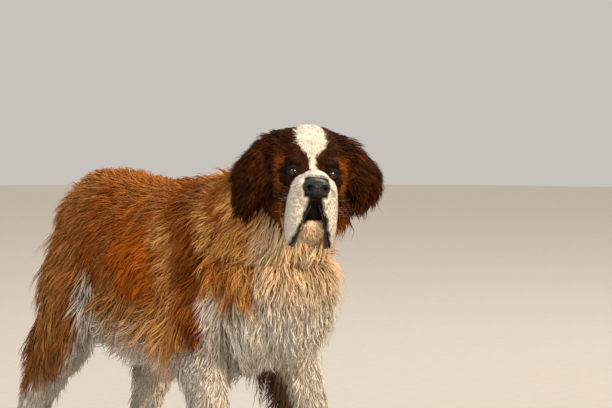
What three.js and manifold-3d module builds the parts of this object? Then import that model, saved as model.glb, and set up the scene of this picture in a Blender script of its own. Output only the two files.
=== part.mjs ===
// A long-haired Saint Bernard in mid step, life size: a still model with no joints.
// Millimetres. +X is the way the body heads, +Y the dog's left, +Z up; the floor is the lowest plane.
import * as THREE from "three";
import { mergeVertices } from "three/addons/utils/BufferGeometryUtils.js";
import Module from "manifold-3d";

const wasm = await Module();
wasm.setup();

// Driving sizes
const WITHERS = 750; // top of the shoulders, under the coat
const CHEST_FLOOR = 375; // underside of the chest, under the coat
const BODY_HALF_WIDTH = 146; // widest part of the rib cage
const TRACK = 112; // each foot's distance from the body's middle plane
const GAP = 0.3; // clear space between touching nodes
const EYE_RADIUS = 12.5;
const LID_THICKNESS = 3;
const NOSE_HALF_WIDTH = 28;
const EAR_LENGTH = 158;
const EAR_HALF_WIDTH = 56;
const CLAW_LENGTH = 24;
const CLAW_RADIUS = 5.5;
const CLAW_DROOP = 0.5; // radians, tip down
const CLAW_REACH = 26; // claw's middle, ahead of its toe's
const CLAW_HEIGHT = 15;
const CLEAR = 0.5; // how far a pocket is grown past the piece in it
const ROOT_REACH = 14; // furthest that a lock's root may lie from its limb's surface
const FLOOR_CLEAR = 12;
const SMALLEST_EDGE = 0.12; // shorter steps left by a union are smoothed away
const LOCK_SINK = 14; // how deep a lock's root sits in the flesh

// Where the head is held, measured at the middle point between the eyes
const HEAD_AT = new THREE.Vector3(356, -52, 787);
const HEAD_YAW = -31.5; // degrees, turned to the dog's right
const HEAD_PITCH = 7.5; // nose up
const HEAD_ROLL = 5; // left side lower

const rad = THREE.MathUtils.degToRad;
const V = (x, y, z) => new THREE.Vector3(x, y, z);
const FORWARD = V(1, 0, 0);
const BACKWARD = V(-1, 0, 0);
const RIGHT = -1;
const LEFT = 1;
const SIDES = [
  ["right", RIGHT],
  ["left", LEFT],
];

// Solids and geometry

function toSolid(geometry) {
  const bare = new THREE.BufferGeometry();
  bare.setAttribute("position", geometry.getAttribute("position"));
  if (geometry.index) bare.setIndex(geometry.index);
  const merged = mergeVertices(bare, 1e-3);
  const mesh = new wasm.Mesh({
    numProp: 3,
    vertProperties: merged.attributes.position.array,
    triVerts: new Uint32Array(merged.index.array),
  });
  const solid = new wasm.Manifold(mesh);
  if (solid.volume() >= 0) return solid;
  mesh.triVerts.reverse();
  return new wasm.Manifold(mesh);
}

function toGeometry(solid) {
  const made = solid.getMesh();
  const step = made.numProp;
  const places = new Float32Array(made.numVert * 3);
  for (let i = 0; i < made.numVert; i++) {
    places.set(made.vertProperties.subarray(i * step, i * step + 3), i * 3);
  }
  const geometry = new THREE.BufferGeometry();
  geometry.setAttribute("position", new THREE.BufferAttribute(places, 3));
  geometry.setIndex(new THREE.BufferAttribute(made.triVerts, 1));
  return geometry;
}

const join = (solids) => wasm.Manifold.union(solids);

function largest(solid) {
  const pieces = solid.decompose();
  return pieces.reduce((a, b) => (b.volume() > a.volume() ? b : a));
}

// Keeps the side of a plane that its normal points to, half a gap away from it.
function keepSide(solid, point, normal) {
  const n = normal.clone().normalize();
  return solid.trimByPlane([n.x, n.y, n.z], n.dot(point) + GAP / 2);
}

// A closed surface of rings between two poles: place(u, t) gives the point for the share u around and t along.
function ringSurface(radial, rows, place) {
  const geometry = new THREE.SphereGeometry(1, radial, rows);
  const at = geometry.getAttribute("position");
  for (let i = 0; i < at.count; i++) {
    const row = Math.floor(i / (radial + 1));
    const t = row / rows;
    const column = i % (radial + 1);
    const u = row === 0 || row === rows ? 0 : (column % radial) / radial;
    const p = place(u, t);
    at.setXYZ(i, p.x, p.y, p.z);
  }
  geometry.deleteAttribute("uv");
  geometry.deleteAttribute("normal");
  return geometry;
}

function ellipsoid(centre, sizes, radial = 12, rows = 8, turn = new THREE.Euler()) {
  const geometry = new THREE.SphereGeometry(1, radial, rows);
  geometry.scale(sizes[0], sizes[1], sizes[2]);
  geometry.applyMatrix4(new THREE.Matrix4().makeRotationFromEuler(turn));
  geometry.translate(centre.x, centre.y, centre.z);
  return toSolid(geometry);
}

function smooth(values, t) {
  const last = values.length - 1;
  const x = THREE.MathUtils.clamp(t, 0, 1) * last;
  const i = Math.min(Math.floor(x), last - 1);
  const f = x - i;
  const p = [values[Math.max(i - 1, 0)], values[i], values[i + 1], values[Math.min(i + 2, last)]];
  const a = (p[2] - p[0]) / 2;
  const b = (p[3] - p[1]) / 2;
  const rise = p[2] - p[1];
  return p[1] + f * (a + f * (3 * rise - 2 * a - b + f * (a + b - 2 * rise)));
}

// The same stations, wider all round
const fatter = (stations, by) => stations.map((s) => [s[0], s[1], s[2], s[3] + by, s[4] + by, s[5] + by]);

// A limb of flesh: each station is [x, y, z, half width, reach towards up, reach away from up].
// Its ends are domes, as deep as the dome size says. A cup bends both edges down from up.
class Limb {
  constructor(stations, options = {}) {
    this.stations = stations;
    this.up = options.up ?? V(0, 0, 1);
    this.dome = options.dome ?? 0.5;
    this.square = options.square ?? 2;
    this.cup = options.cup ?? 0;
    this.axis = options.axis;
    this.radial = options.radial ?? 16;
    this.rows = options.rows ?? 14;
    this.curve = new THREE.CatmullRomCurve3(stations.map((s) => V(s[0], s[1], s[2])));
  }

  ring(t) {
    const centre = this.curve.getPoint(t);
    const along = this.axis?.clone() ?? this.curve.getTangent(t).normalize();
    const side = along.clone().cross(this.up).normalize();
    const up = side.clone().cross(along).normalize();
    const read = (k) => smooth(this.stations.map((s) => s[k]), t);
    return { centre, along, side, up, half: read(3), top: read(4), bottom: read(5) };
  }

  // The point at an angle round the limb, 0 at its side and a quarter turn at its top.
  point(angle, t, shrink = 1, push = 0) {
    const r = this.ring(t);
    const bend = (c) => Math.sign(c) * Math.abs(c) ** (2 / this.square);
    const c = bend(Math.cos(angle));
    const s = bend(Math.sin(angle));
    const high = s > 0 ? r.top : r.bottom;
    return r.centre
      .clone()
      .addScaledVector(r.side, c * r.half * shrink)
      .addScaledVector(r.up, (s * high - c * c * this.cup) * shrink)
      .addScaledVector(r.along, push);
  }

  normal(angle, t) {
    const e = 0.01;
    const around = this.point(angle + e, t).sub(this.point(angle - e, t));
    const along = this.point(angle, Math.min(t + e, 1)).sub(this.point(angle, Math.max(t - e, 0)));
    const n = around.cross(along).normalize();
    const out = this.point(angle, t).sub(this.ring(t).centre);
    return n.dot(out) < 0 ? n.negate() : n;
  }

  geometry() {
    const capRows = 2;
    const { radial, rows } = this;
    const all = rows + 2 * capRows;
    return ringSurface(radial, all, (u, v) => {
      const row = Math.round(v * all);
      const angle = u * 2 * Math.PI;
      const t = THREE.MathUtils.clamp((row - capRows) / rows, 0, 1);
      const past = Math.max(capRows - row, row - capRows - rows, 0) / capRows;
      const ring = this.ring(t);
      const depth = this.dome * Math.min(ring.half, ring.top) * Math.sin((past * Math.PI) / 2);
      const push = row < capRows ? -depth : depth;
      const shrink = Math.cos((past * Math.PI) / 2);
      return this.point(angle, t, past === 1 ? 0 : shrink, past === 0 ? 0 : push);
    });
  }

  solid() {
    return toSolid(this.geometry());
  }
}

// Torso, neck, legs and tail, all under the coat

const torso = new Limb(
  [
    [-552, 0, 606, 48, 56, 74],
    [-508, 0, 604, 78, 98, 114],
    [-440, 0, 602, 106, 130, 158],
    [-360, 0, 592, 117, 142, 178],
    [-270, 0, 580, 126, 146, 182],
    [-160, 0, 566, 140, 160, 182],
    [-60, 0, 560, BODY_HALF_WIDTH, 180, 184],
    [20, 0, 555, 144, WITHERS - 555, 555 - CHEST_FLOOR],
    [95, 0, 548, 138, 170, 166],
    [170, 0, 542, 126, 130, 138],
    [238, 0, 536, 92, 90, 96],
  ],
  { radial: 18, rows: 12, dome: 0.5 },
);

const neckStations = [
  [20, 0, 606, 120, 138, 130],
  [110, 0, 646, 122, 120, 138],
  [190, -6, 704, 110, 102, 128],
  [250, -14, 752, 100, 92, 112],
  [296, -22, 784, 88, 80, 88],
];
const neck = new Limb(neckStations, { radial: 14, rows: 6 });

const forelegs = {
  right: [
    [124, -76, 590, 52, 64, 70],
    [88, -106, 495, 56, 70, 78],
    [62, -114, 405, 51, 62, 68],
    [82, -TRACK, 310, 43, 47, 52],
    [98, -TRACK, 230, 38, 39, 43],
    [106, -TRACK, 165, 39, 40, 41],
    [112, -TRACK, 100, 36, 37, 38],
    [122, -TRACK, 52, 39, 38, 40],
  ],
  left: [
    [142, 76, 590, 52, 64, 70],
    [114, 106, 495, 56, 70, 78],
    [80, 112, 405, 51, 60, 68],
    [126, TRACK, 310, 43, 45, 52],
    [162, TRACK, 230, 38, 38, 43],
    [192, TRACK, 165, 39, 40, 41],
    [222, TRACK, 100, 36, 37, 38],
    [246, TRACK, 52, 39, 38, 40],
  ],
};

const hindlegs = {
  right: [
    [-452, -62, 600, 48, 92, 66],
    [-438, -100, 505, 52, 100, 84],
    [-444, -112, 415, 50, 82, 82],
    [-508, -114, 310, 42, 56, 60],
    [-566, -TRACK, 230, 34, 38, 46],
    [-594, -TRACK, 185, 33, 34, 40],
    [-598, -TRACK, 115, 32, 33, 34],
    [-588, -TRACK, 52, 36, 36, 36],
  ],
  left: [
    [-440, 62, 600, 48, 88, 66],
    [-400, 100, 505, 52, 98, 84],
    [-372, 112, 415, 50, 80, 80],
    [-408, 114, 310, 42, 56, 60],
    [-446, TRACK, 230, 34, 38, 46],
    [-462, TRACK, 185, 33, 34, 40],
    [-448, TRACK, 115, 32, 33, 34],
    [-430, TRACK, 52, 36, 36, 36],
  ],
};

const legOptions = { up: V(1, 0, 0), radial: 10, rows: 11, dome: 0.4 };
const legs = {};
for (const [side] of SIDES) {
  legs["foreleg_" + side] = new Limb(forelegs[side], legOptions);
  legs["hindleg_" + side] = new Limb(hindlegs[side], legOptions);
}

const tail = new Limb(
  [
    [-514, 0, 664, 42, 38, 40],
    [-572, -2, 640, 36, 34, 34],
    [-612, -4, 555, 31, 30, 30],
    [-634, -6, 450, 27, 26, 26],
    [-658, -10, 345, 22, 21, 21],
    [-692, -16, 250, 14, 14, 14],
  ],
  { radial: 8, rows: 8, up: V(0, 1, 0), dome: 1 },
);

// The head, in its own frame: x forward, y left, z up, from the middle point between the eyes

const headTurn = new THREE.Matrix4()
  .makeRotationZ(rad(HEAD_YAW))
  .multiply(new THREE.Matrix4().makeRotationY(rad(-HEAD_PITCH)))
  .multiply(new THREE.Matrix4().makeRotationX(rad(-HEAD_ROLL)));
const headPlace = headTurn.clone().setPosition(HEAD_AT);

const placeHead = (solid) => solid.transform(headPlace.elements);
const headPoint = (x, y, z) => V(x, y, z).applyMatrix4(headPlace);
const headWay = (x, y, z) => V(x, y, z).transformDirection(headPlace);

// Skull and muzzle: [x, top, bottom, half width]
const SKULL_SECTIONS = [
  [-112, 62, -62, 60],
  [-88, 92, -88, 86],
  [-50, 103, -98, 97],
  [-16, 94, -98, 92],
  [10, 66, -96, 78],
  [30, 24, -90, 62],
  [56, 2, -84, 51],
  [88, -3, -80, 47],
  [116, -7, -76, 45],
  [136, -12, -68, 40],
];
const skullStations = SKULL_SECTIONS.map(([x, top, bottom, half]) => {
  const middle = (top + bottom) / 2;
  return [x, 0, middle, half, top - middle, middle - bottom];
});
const skull = (grow = 0) =>
  new Limb(fatter(skullStations, grow), { radial: 16, rows: 12, square: 2.1, dome: 0.3, axis: FORWARD });

// Hanging upper lips: [x, distance from the middle, middle height, half thickness, half height]
const FLEW_SECTIONS = [
  [137, 17, -58, 13, 20],
  [127, 31, -78, 13, 46],
  [102, 38, -92, 13, 62],
  [70, 40, -92, 13, 62],
  [38, 44, -80, 14, 46],
  [8, 50, -64, 14, 24],
];
const flew = (side) =>
  new Limb(
    FLEW_SECTIONS.map(([x, y, z, half, high]) => [x, side * y, z, half, high, high]),
    { radial: 10, rows: 7, dome: 0.8, square: 2.2, axis: BACKWARD },
  );

// The dark rim of each upper lip, along the flew's lower edge
const LIP_POINTS = [
  [136, 8, -76],
  [129, 19, -100],
  [118, 29, -128],
  [97, 34, -150],
  [72, 36, -151],
  [46, 40, -130],
];
const LIP_RADIUS = 6;
const lip = (side, grow = 0) => {
  const r = LIP_RADIUS + grow;
  return new Limb(
    LIP_POINTS.map(([x, y, z]) => [x, side * y, z, r, r, r]),
    { radial: 6, rows: 8, dome: 1 },
  );
};

const JAW_STATIONS = [
  [112, 0, -118, 16, 12, 22],
  [94, 0, -116, 20, 16, 26],
  [64, 0, -110, 22, 20, 28],
  [30, 0, -100, 25, 20, 28],
  [6, 0, -90, 25, 16, 24],
];
const jaw = (grow = 0) =>
  new Limb(fatter(JAW_STATIONS, grow), { radial: 10, rows: 6, dome: 0.6, axis: BACKWARD });

const EYE = V(37, 38, -2);
const eyeAt = (side) => V(EYE.x, side * EYE.y, EYE.z);

function eyeball(side, grow = 0) {
  const r = EYE_RADIUS + grow;
  return ellipsoid(eyeAt(side), [r, r, r], 12, 8);
}

// A wedge between the lids that opens the eye, drooping at its outer corner
function eyeOpening(side) {
  const centre = eyeAt(side).add(V(12, side * 5, -1));
  return ellipsoid(centre, [13, 11.5, 6.5], 10, 6, new THREE.Euler(side * 0.12, 0, side * 0.5));
}

function noseSolid(grow = 0) {
  const body = new Limb(
    [
      [124, 0, -36, 22 + grow, 13 + grow, 18 + grow],
      [136, 0, -37, NOSE_HALF_WIDTH + grow, 17 + grow, 20 + grow],
      [148, 0, -39, 24 + grow, 15 + grow, 18 + grow],
      [155, 0, -41, 15 + grow, 9 + grow, 13 + grow],
    ],
    { radial: 12, rows: 5, dome: 0.35, square: 2.4 },
  ).solid();
  if (grow > 0) return body;
  const nostrils = SIDES.map(([, side]) =>
    ellipsoid(V(152, side * 13, -40), [9, 5.5, 5], 6, 5, new THREE.Euler(0.4 * side, 0, side * 0.7)),
  );
  return body.subtract(join(nostrils));
}

const BROW_SIZE = [15, 19, 10];
const browSolid = (side) => ellipsoid(V(28, side * 37, 20), BROW_SIZE, 8, 6);
const lidSolid = (side) => {
  const r = EYE_RADIUS + LID_THICKNESS;
  return ellipsoid(eyeAt(side), [r, r, r], 12, 8);
};

// Ears: a cupped flap that hangs out from the side of the skull, its face turned forward
const EAR_TILT = { right: 4, left: 15 }; // how far each tip is carried outwards
function earLimb(sideName, side, grow = 0) {
  const swing = EAR_TILT[sideName];
  const shares = [0, 0.22, 0.5, 0.78, 1];
  const widths = [0.5, 0.84, 1, 0.84, 0.32];
  const stations = shares.map((share, i) => {
    const out = 66 + 56 * Math.sin(Math.min(share * 2.1, Math.PI / 2)) + swing * share;
    const x = -34 + 14 * share;
    const z = 70 - EAR_LENGTH * share * (1 - (swing / 60) * share);
    const thick = 6.5 - 2.5 * share + grow;
    return [x, side * out, z, EAR_HALF_WIDTH * widths[i] + grow, thick, thick];
  });
  const up = V(0.66, side * 0.72, 0.18);
  return new Limb(stations, { up, radial: 10, rows: 7, dome: 0.5, cup: 16 });
}

// Feet

const FOOT = {
  foreleg_right: { heel: V(132, -TRACK, 0), turn: -4 },
  foreleg_left: { heel: V(258, TRACK, 0), turn: 4 },
  hindleg_right: { heel: V(-574, -TRACK, 0), turn: -5 },
  hindleg_left: { heel: V(-414, TRACK, 0), turn: 5 },
};
const TOES = [-34, -12, 12, 34];
const TOE_REACH = [26, 42, 42, 26];

function pawParts(name) {
  const size = name.startsWith("fore") ? 1 : 0.9;
  const { heel, turn } = FOOT[name];
  const place = new THREE.Matrix4().makeRotationZ(rad(turn)).scale(V(size, size, size));
  place.setPosition(heel);
  const solids = [ellipsoid(V(0, 0, 29), [46, 42, 33], 8, 5)];
  const claws = [];
  const sockets = [];
  TOES.forEach((y, i) => {
    solids.push(ellipsoid(V(TOE_REACH[i], y, 19.5), [27, 14.5, 23], 8, 5));
    for (const [grow, list] of [[0, claws], [CLEAR, sockets]]) {
      const claw = new THREE.ConeGeometry(CLAW_RADIUS + grow, CLAW_LENGTH + 4 * grow, 6, 1);
      claw.rotateZ(-Math.PI / 2 - CLAW_DROOP);
      claw.translate(TOE_REACH[i] + CLAW_REACH, y, CLAW_HEIGHT);
      list.push(toSolid(claw).transform(place.elements));
    }
  });
  return { paw: join(solids).transform(place.elements), claws, sockets: join(sockets) };
}

// Assembling the flesh, and parting it with thin plane cuts

const flesh = {
  torso: torso.solid(),
  neck: neck.solid(),
  tail: tail.solid(),
};
for (const [name, limb] of Object.entries(legs)) flesh[name] = limb.solid();

const headSolids = [skull().solid()];
for (const [, side] of SIDES) headSolids.push(flew(side).solid(), browSolid(side), lidSolid(side));
const rawHead = placeHead(join(headSolids));

const paws = {};
for (const name of Object.keys(legs)) paws[name] = pawParts(name);

// Where two neighbours part: a point and the way to the second one
const CUTS = {
  headNeck: [headPoint(-84, 0, -10), headWay(1, 0, 0.18)],
  neckTorso: [V(96, 0, 640), V(0.62, 0, 0.78)],
  tailTorso: [V(-584, 0, 600), V(-1, 0, -0.12)],
};
const LEG_CUTS = {
  foreleg: { inner: 66, low: 392, outer: 168, high: 540, from: -130, to: 270 },
  hindleg: { inner: 40, low: 452, outer: 168, high: 640, from: -640, to: -300 },
};
const FOOT_CUT = 62;
// Elbow and stifle, where a leg's upper part meets its lower part: height, and the way on down the leg
const JOINT_CUTS = {
  foreleg_right: [V(64, -TRACK, 398), V(0.1, 0, -1)],
  foreleg_left: [V(82, TRACK, 398), V(0.35, 0, -1)],
  hindleg_right: [V(-462, -TRACK, 366), V(-0.5, 0, -0.86)],
  hindleg_left: [V(-382, TRACK, 366), V(-0.3, 0, -0.95)],
};

function partPair(both, [point, way]) {
  return [largest(keepSide(both, point, way.clone().negate())), largest(keepSide(both, point, way))];
}

// A box whose inner face is the slanting plane between a leg and the trunk
function legCell(kind, side, shift) {
  const c = LEG_CUTS[kind];
  const rise = Math.atan2(c.high - c.low, c.outer - c.inner);
  const size = 900;
  const box = new THREE.BoxGeometry(c.to - c.from, size, size);
  box.translate((c.from + c.to) / 2, 0, -size / 2 + shift);
  box.rotateX(rise * side);
  box.translate(0, side * c.inner, c.low);
  return toSolid(box);
}

let trunk = join([flesh.torso, flesh.tail, flesh.neck]);
for (const name of Object.keys(legs)) {
  const [kind, sideName] = name.split("_");
  const side = sideName === "right" ? RIGHT : LEFT;
  const both = trunk.add(flesh[name]);
  flesh[name] = largest(both.intersect(legCell(kind, side, -GAP / 2)));
  trunk = largest(both.subtract(legCell(kind, side, GAP / 2)));
  const ankle = V(0, 0, FOOT_CUT);
  const limb = flesh[name];
  const foot = paws[name].paw.add(limb);
  const whole = largest(keepSide(foot, ankle, V(0, 0, 1)));
  delete flesh[name];
  [flesh[name + "_upper"], flesh[name + "_lower"]] = partPair(whole, JOINT_CUTS[name]);
  const sole = V(0, 0, -GAP / 2);
  const paw = keepSide(keepSide(foot, ankle, V(0, 0, -1)), sole, V(0, 0, 1));
  paws[name].paw = largest(paw.subtract(paws[name].sockets));
}
[flesh.torso, flesh.neck] = partPair(trunk, CUTS.neckTorso);
[flesh.torso, flesh.tail] = partPair(flesh.torso, CUTS.tailTorso);
[flesh.neck, flesh.head] = partPair(rawHead.add(flesh.neck), CUTS.headNeck);

// The face's own pieces, each in its pocket in the head
const lips = SIDES.map(([, side]) => placeHead(lip(side).solid()));
const lipPockets = join(SIDES.map(([, side]) => placeHead(lip(side, CLEAR).solid())));
const eyes = SIDES.map(([, side]) => placeHead(eyeball(side)));
const eyePockets = SIDES.map(([, side]) => placeHead(join([eyeball(side, CLEAR), eyeOpening(side)])));
const nose = placeHead(noseSolid());
const nosePocket = placeHead(noseSolid(CLEAR));
const lowerJaw = largest(placeHead(jaw().solid()).subtract(lipPockets));
const headPockets = join([lipPockets, ...eyePockets, nosePocket, placeHead(jaw(CLEAR).solid())]);
flesh.head = largest(flesh.head.subtract(headPockets));

const skullClear = placeHead(skull(CLEAR).solid());
const neckClear = new Limb(fatter(neckStations, CLEAR), { radial: 14, rows: 6 }).solid();
SIDES.forEach(([sideName, side]) => {
  const flap = placeHead(earLimb(sideName, side).solid());
  flesh["ear_" + sideName] = largest(flap.subtract(skullClear).subtract(neckClear));
});

// The coat: flat, tapered locks rooted in the flesh, laid along the way the hair grows

const skin = new THREE.Group();
for (const [name, solid] of Object.entries(flesh)) {
  const piece = new THREE.Mesh(toGeometry(solid), new THREE.MeshBasicMaterial({ side: THREE.DoubleSide }));
  piece.name = name;
  piece.geometry.computeBoundingBox();
  piece.geometry.computeBoundingSphere();
  skin.add(piece);
}
const caster = new THREE.Raycaster();
const LOCK_STEPS = 4;
const LOCK_WIDTHS = [0.6, 1, 0.88, 0.56, 0]; // shares of the width, from root to tip
const LOCK_RIDGES = [0.8, 1, 0.9, 0.6, 0];
const LOCK_RISE = [0, 0.3, 0.62, 0.88, 1];
const SKIN_REACH = 45; // how far off a step may look for the skin

// The skin under a point, looked for along the normal
function dropOnSkin(point, normal, reach) {
  caster.set(point.clone().addScaledVector(normal, reach), normal.clone().negate());
  caster.far = 2 * reach;
  const hit = caster.intersectObjects(skin.children, false)[0];
  if (!hit) return null;
  const n = hit.face.normal.clone();
  if (n.dot(normal) < 0) n.negate();
  return { point: hit.point, normal: n, node: hit.object.name };
}

// A repeatable random draw between two values
function drawer(seed) {
  let state = seed;
  return (low, high) => {
    state = (state * 1664525 + 1013904223) % 4294967296;
    return low + ((high - low) * state) / 4294967296;
  };
}
const draw = drawer(7);

// The way the hair lies at a place on the body
function lieOf(point, normal, field) {
  const way = field.lie ? field.lie(point, normal) : bodyLie(normal);
  return way.addScaledVector(normal, -way.dot(normal)).normalize();
}
const bodyLie = (n) => V(-1 + 0.95 * Math.max(n.x, 0), 0, -0.2 - 0.75 * Math.abs(n.y) - Math.max(n.x, 0));

// The line that a lock follows over the skin: place and outward normal at each step
function lockPath(root, field, length, sway) {
  const path = [{ point: root.point.clone(), normal: root.normal.clone() }];
  let way = lieOf(root.point, root.normal, field);
  const step = length / LOCK_STEPS;
  for (let i = 1; i <= LOCK_STEPS; i++) {
    const last = path[i - 1];
    const across = last.normal.clone().cross(way).normalize();
    way.addScaledVector(across, sway * Math.cos((i / LOCK_STEPS) * Math.PI)).normalize();
    const ahead = last.point.clone().addScaledVector(way, step);
    const found = dropOnSkin(ahead, last.normal, SKIN_REACH);
    if (found) {
      const normal = last.normal.clone().lerp(found.normal, 0.6).normalize();
      path.push({ point: found.point, normal });
      way = lieOf(found.point, normal, field).lerp(way, 0.35).normalize();
    } else {
      way.add(V(0, 0, -0.3)).normalize();
      const normal = last.normal.clone().addScaledVector(way, -last.normal.dot(way)).normalize();
      path.push({ point: ahead, normal });
    }
  }
  return path;
}


// A three-sided lock along its path: two edges and a ridge that faces outwards
function lockSolid(path, half, ridge, lift, grow = 0) {
  const geometry = new THREE.ConeGeometry(1, 1, 3, LOCK_STEPS);
  const at = geometry.getAttribute("position");
  for (let i = 0; i < at.count; i++) {
    const k = Math.round((at.getY(i) + 0.5) * LOCK_STEPS);
    const round = Math.max(1 - k / LOCK_STEPS, 1e-6);
    const edge = k === LOCK_STEPS ? 0 : at.getX(i) / round / Math.sin(Math.PI / 3);
    const high = k === LOCK_STEPS ? 0 : (at.getZ(i) / round + 0.5) / 1.5;
    const here = path[k];
    const next = path[Math.min(k + 1, LOCK_STEPS)];
    const before = path[Math.max(k - 1, 0)];
    const along = next.point.clone().sub(before.point).normalize();
    const side = here.normal.clone().cross(along).normalize();
    const base = k === 0 ? -LOCK_SINK : lift * LOCK_RISE[k];
    const p = here.point
      .clone()
      .addScaledVector(side, edge * (half * LOCK_WIDTHS[k] + 2 * grow))
      .addScaledVector(here.normal, base - grow + high * (ridge * LOCK_RIDGES[k] + 3 * grow))
      .addScaledVector(along, k === LOCK_STEPS ? 3 * grow : 0);
    at.setXYZ(i, p.x, p.y, p.z);
  }
  geometry.deleteAttribute("uv");
  geometry.deleteAttribute("normal");
  return toSolid(geometry);
}

const meets = (a, b) => {
  const p = a.boundingBox();
  const q = b.boundingBox();
  return [0, 1, 2].every((k) => p.min[k] < q.max[k] && q.min[k] < p.max[k]);
};
const placedLocks = [];
const others = { lower_jaw: lowerJaw, nose, lip_right: lips[0], lip_left: lips[1] };
for (const [name, { paw }] of Object.entries(paws)) others[name.replace("leg", "paw")] = paw;

function crossesAnother(lock, node) {
  const near = [
    ...Object.entries(flesh),
    ...Object.entries(others),
    ...placedLocks.map((p) => [p.node, p.solid]),
  ];
  return near.some(([name, solid]) => name !== node && meets(lock, solid) && !lock.intersect(solid).isEmpty());
}

// Each try bends the lock further out, or makes it shorter, until it is clear of the other nodes.
const LOCK_TRIES = [[1, 1], [1.4, 1], [1, 0.75], [1.6, 0.75], [1, 0.5], [1.8, 0.5]];

function placeLock(field, angle, t) {
  const place = (p) => (field.onHead ? p.applyMatrix4(headPlace) : p);
  const start = place(field.limb.point(angle, t));
  const outward = field.limb.normal(angle, t);
  if (field.onHead) outward.transformDirection(headPlace);
  const root = dropOnSkin(start, outward, SKIN_REACH);
  if (!root || root.point.distanceTo(start) > ROOT_REACH) return;
  root.normal.lerp(outward, 0.7).normalize();
  const length = field.length * draw(0.85, 1.15);
  const half = field.half * draw(0.85, 1.15);
  const sway = draw(-0.3, 0.3);
  for (const [rise, short] of LOCK_TRIES) {
    const path = lockPath(root, field, length * short, sway);
    const lift = field.lift * rise;
    const lowest = Math.min(...path.map((p) => p.point.z));
    if (lowest < FLOOR_CLEAR) continue;
    const guard = lockSolid(path, half, field.ridge, lift, CLEAR);
    if (crossesAnother(guard, root.node)) continue;
    placedLocks.push({ node: root.node, solid: lockSolid(path, half, field.ridge, lift) });
    return;
  }
}

function growField(field) {
  for (let row = 0; row < field.rows; row++) {
    const t = field.from + ((field.to - field.from) * row) / Math.max(field.rows - 1, 1);
    for (let k = 0; k < field.count; k++) {
      const share = (k + (row % 2 ? 0.75 : 0.25) + draw(-0.12, 0.12)) / field.count;
      const angle = rad(field.sweep[0] + (field.sweep[1] - field.sweep[0]) * share);
      placeLock(field, angle, t + draw(-0.012, 0.012));
    }
  }
}

// Each field of locks: rows along a limb from one share of it to another, and a number of locks in each row
// spread over a sweep of angles; then the sizes of one lock, and how far its tip stands off the flesh.
const down = () => V(-0.25, 0, -1);
const BACK = 270; // the angle round a leg that faces the tail
const BELLY = [225, 315];
const SIDES_AND_BACK = [-52, 232];
const about = (middle, reach) => [middle - reach, middle + reach];
const rows = (limb, from, to, count, each, sweep) => ({ limb, from, to, rows: count, count: each, sweep });
const lock = (length, half, ridge, lift, lie) => ({ length, half, ridge, lift, lie });

const legFields = SIDES.flatMap(([sideName, side]) => {
  const outer = side === RIGHT ? 0 : 180;
  const fore = legs["foreleg_" + sideName];
  const hind = legs["hindleg_" + sideName];
  return [
    { ...rows(fore, 0.52, 0.84, 3, 2, about(BACK, 60)), ...lock(85, 19, 8, 20, down) },
    { ...rows(fore, 0.3, 0.42, 2, 3, about(BACK, 75)), ...lock(135, 27, 10, 26, down) },
    { ...rows(fore, 0.2, 0.3, 1, 2, about(outer, 60)), ...lock(130, 32, 10, 22, down) },
    { ...rows(hind, 0.6, 0.82, 2, 2, about(BACK, 45)), ...lock(80, 19, 8, 20, down) },
    { ...rows(hind, 0.2, 0.48, 3, 2, about(BACK, 55)), ...lock(125, 30, 11, 24, down) },
    { ...rows(hind, 0.16, 0.4, 2, 2, about(outer, 50)), ...lock(125, 32, 10, 20, down) },
  ];
});
const tailLie = () => V(-0.25, 0, -1);
const ruffLie = (p, n) => V(-0.75, 0, -0.85 - 0.5 * Math.max(n.x, 0));
const bodyFields = [
  { ...rows(tail, 0.2, 0.97, 5, 3, [0, 360]), ...lock(100, 22, 9, 18, tailLie) },
  { ...rows(torso, 0.52, 0.18, 3, 3, BELLY), ...lock(105, 34, 12, 58) },
  { ...rows(torso, 0.97, 0.04, 7, 8, SIDES_AND_BACK), ...lock(165, 43, 14, 26) },
  { ...rows(torso, 0.95, 0.66, 3, 3, BELLY), ...lock(110, 34, 12, 34) },
  { ...rows(neck, 0.9, 0.1, 4, 8, [0, 360]), ...lock(135, 38, 14, 30, ruffLie) },
];
const headFields = SIDES.flatMap(([sideName, side]) => {
  const cheek = side === RIGHT ? [-80, 30] : [150, 260];
  const cheekLie = () => headWay(-0.5, 0, -1);
  const earLie = () => headWay(-0.2, side * 0.3, -1);
  const ear = earLimb(sideName, side);
  return [
    { ...rows(skull(), 0.1, 0.42, 2, 3, cheek), ...lock(75, 25, 9, 16, cheekLie), onHead: true },
    { ...rows(ear, 0.15, 0.74, 3, 2, [0, 180]), ...lock(58, 23, 7, 12, earLie), onHead: true },
  ];
});
[...legFields, ...bodyFields, ...headFields].forEach(growField);

// A node's flesh with all its locks
function grown(name, solid) {
  const own = placedLocks.filter((lock) => lock.node === name);
  return join([solid, ...own.map((lock) => lock.solid)]);
}

// The finished nodes

const COLOURS = {
  coat_red: [0x9a4a17, 0.9],
  coat_white: [0xe6dccb, 0.9],
  coat_dark: [0x2b1a12, 0.9],
  nose_leather: [0x191513, 0.45],
  lip_skin: [0x1c1716, 0.4],
  eye: [0x3a2012, 0.1],
  claw: [0x3b342c, 0.5],
};
const materials = {};
for (const [name, [color, roughness]] of Object.entries(COLOURS)) {
  materials[name] = new THREE.MeshStandardMaterial({ name, color, roughness, metalness: 0 });
}

const dog = new THREE.Group();
dog.name = "saint_bernard";

function addNode(name, solid, material) {
  const clean = largest(solid).asOriginal().simplify(SMALLEST_EDGE);
  const mesh = new THREE.Mesh(toGeometry(clean), materials[material]);
  mesh.name = name;
  dog.add(mesh);
}

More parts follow.
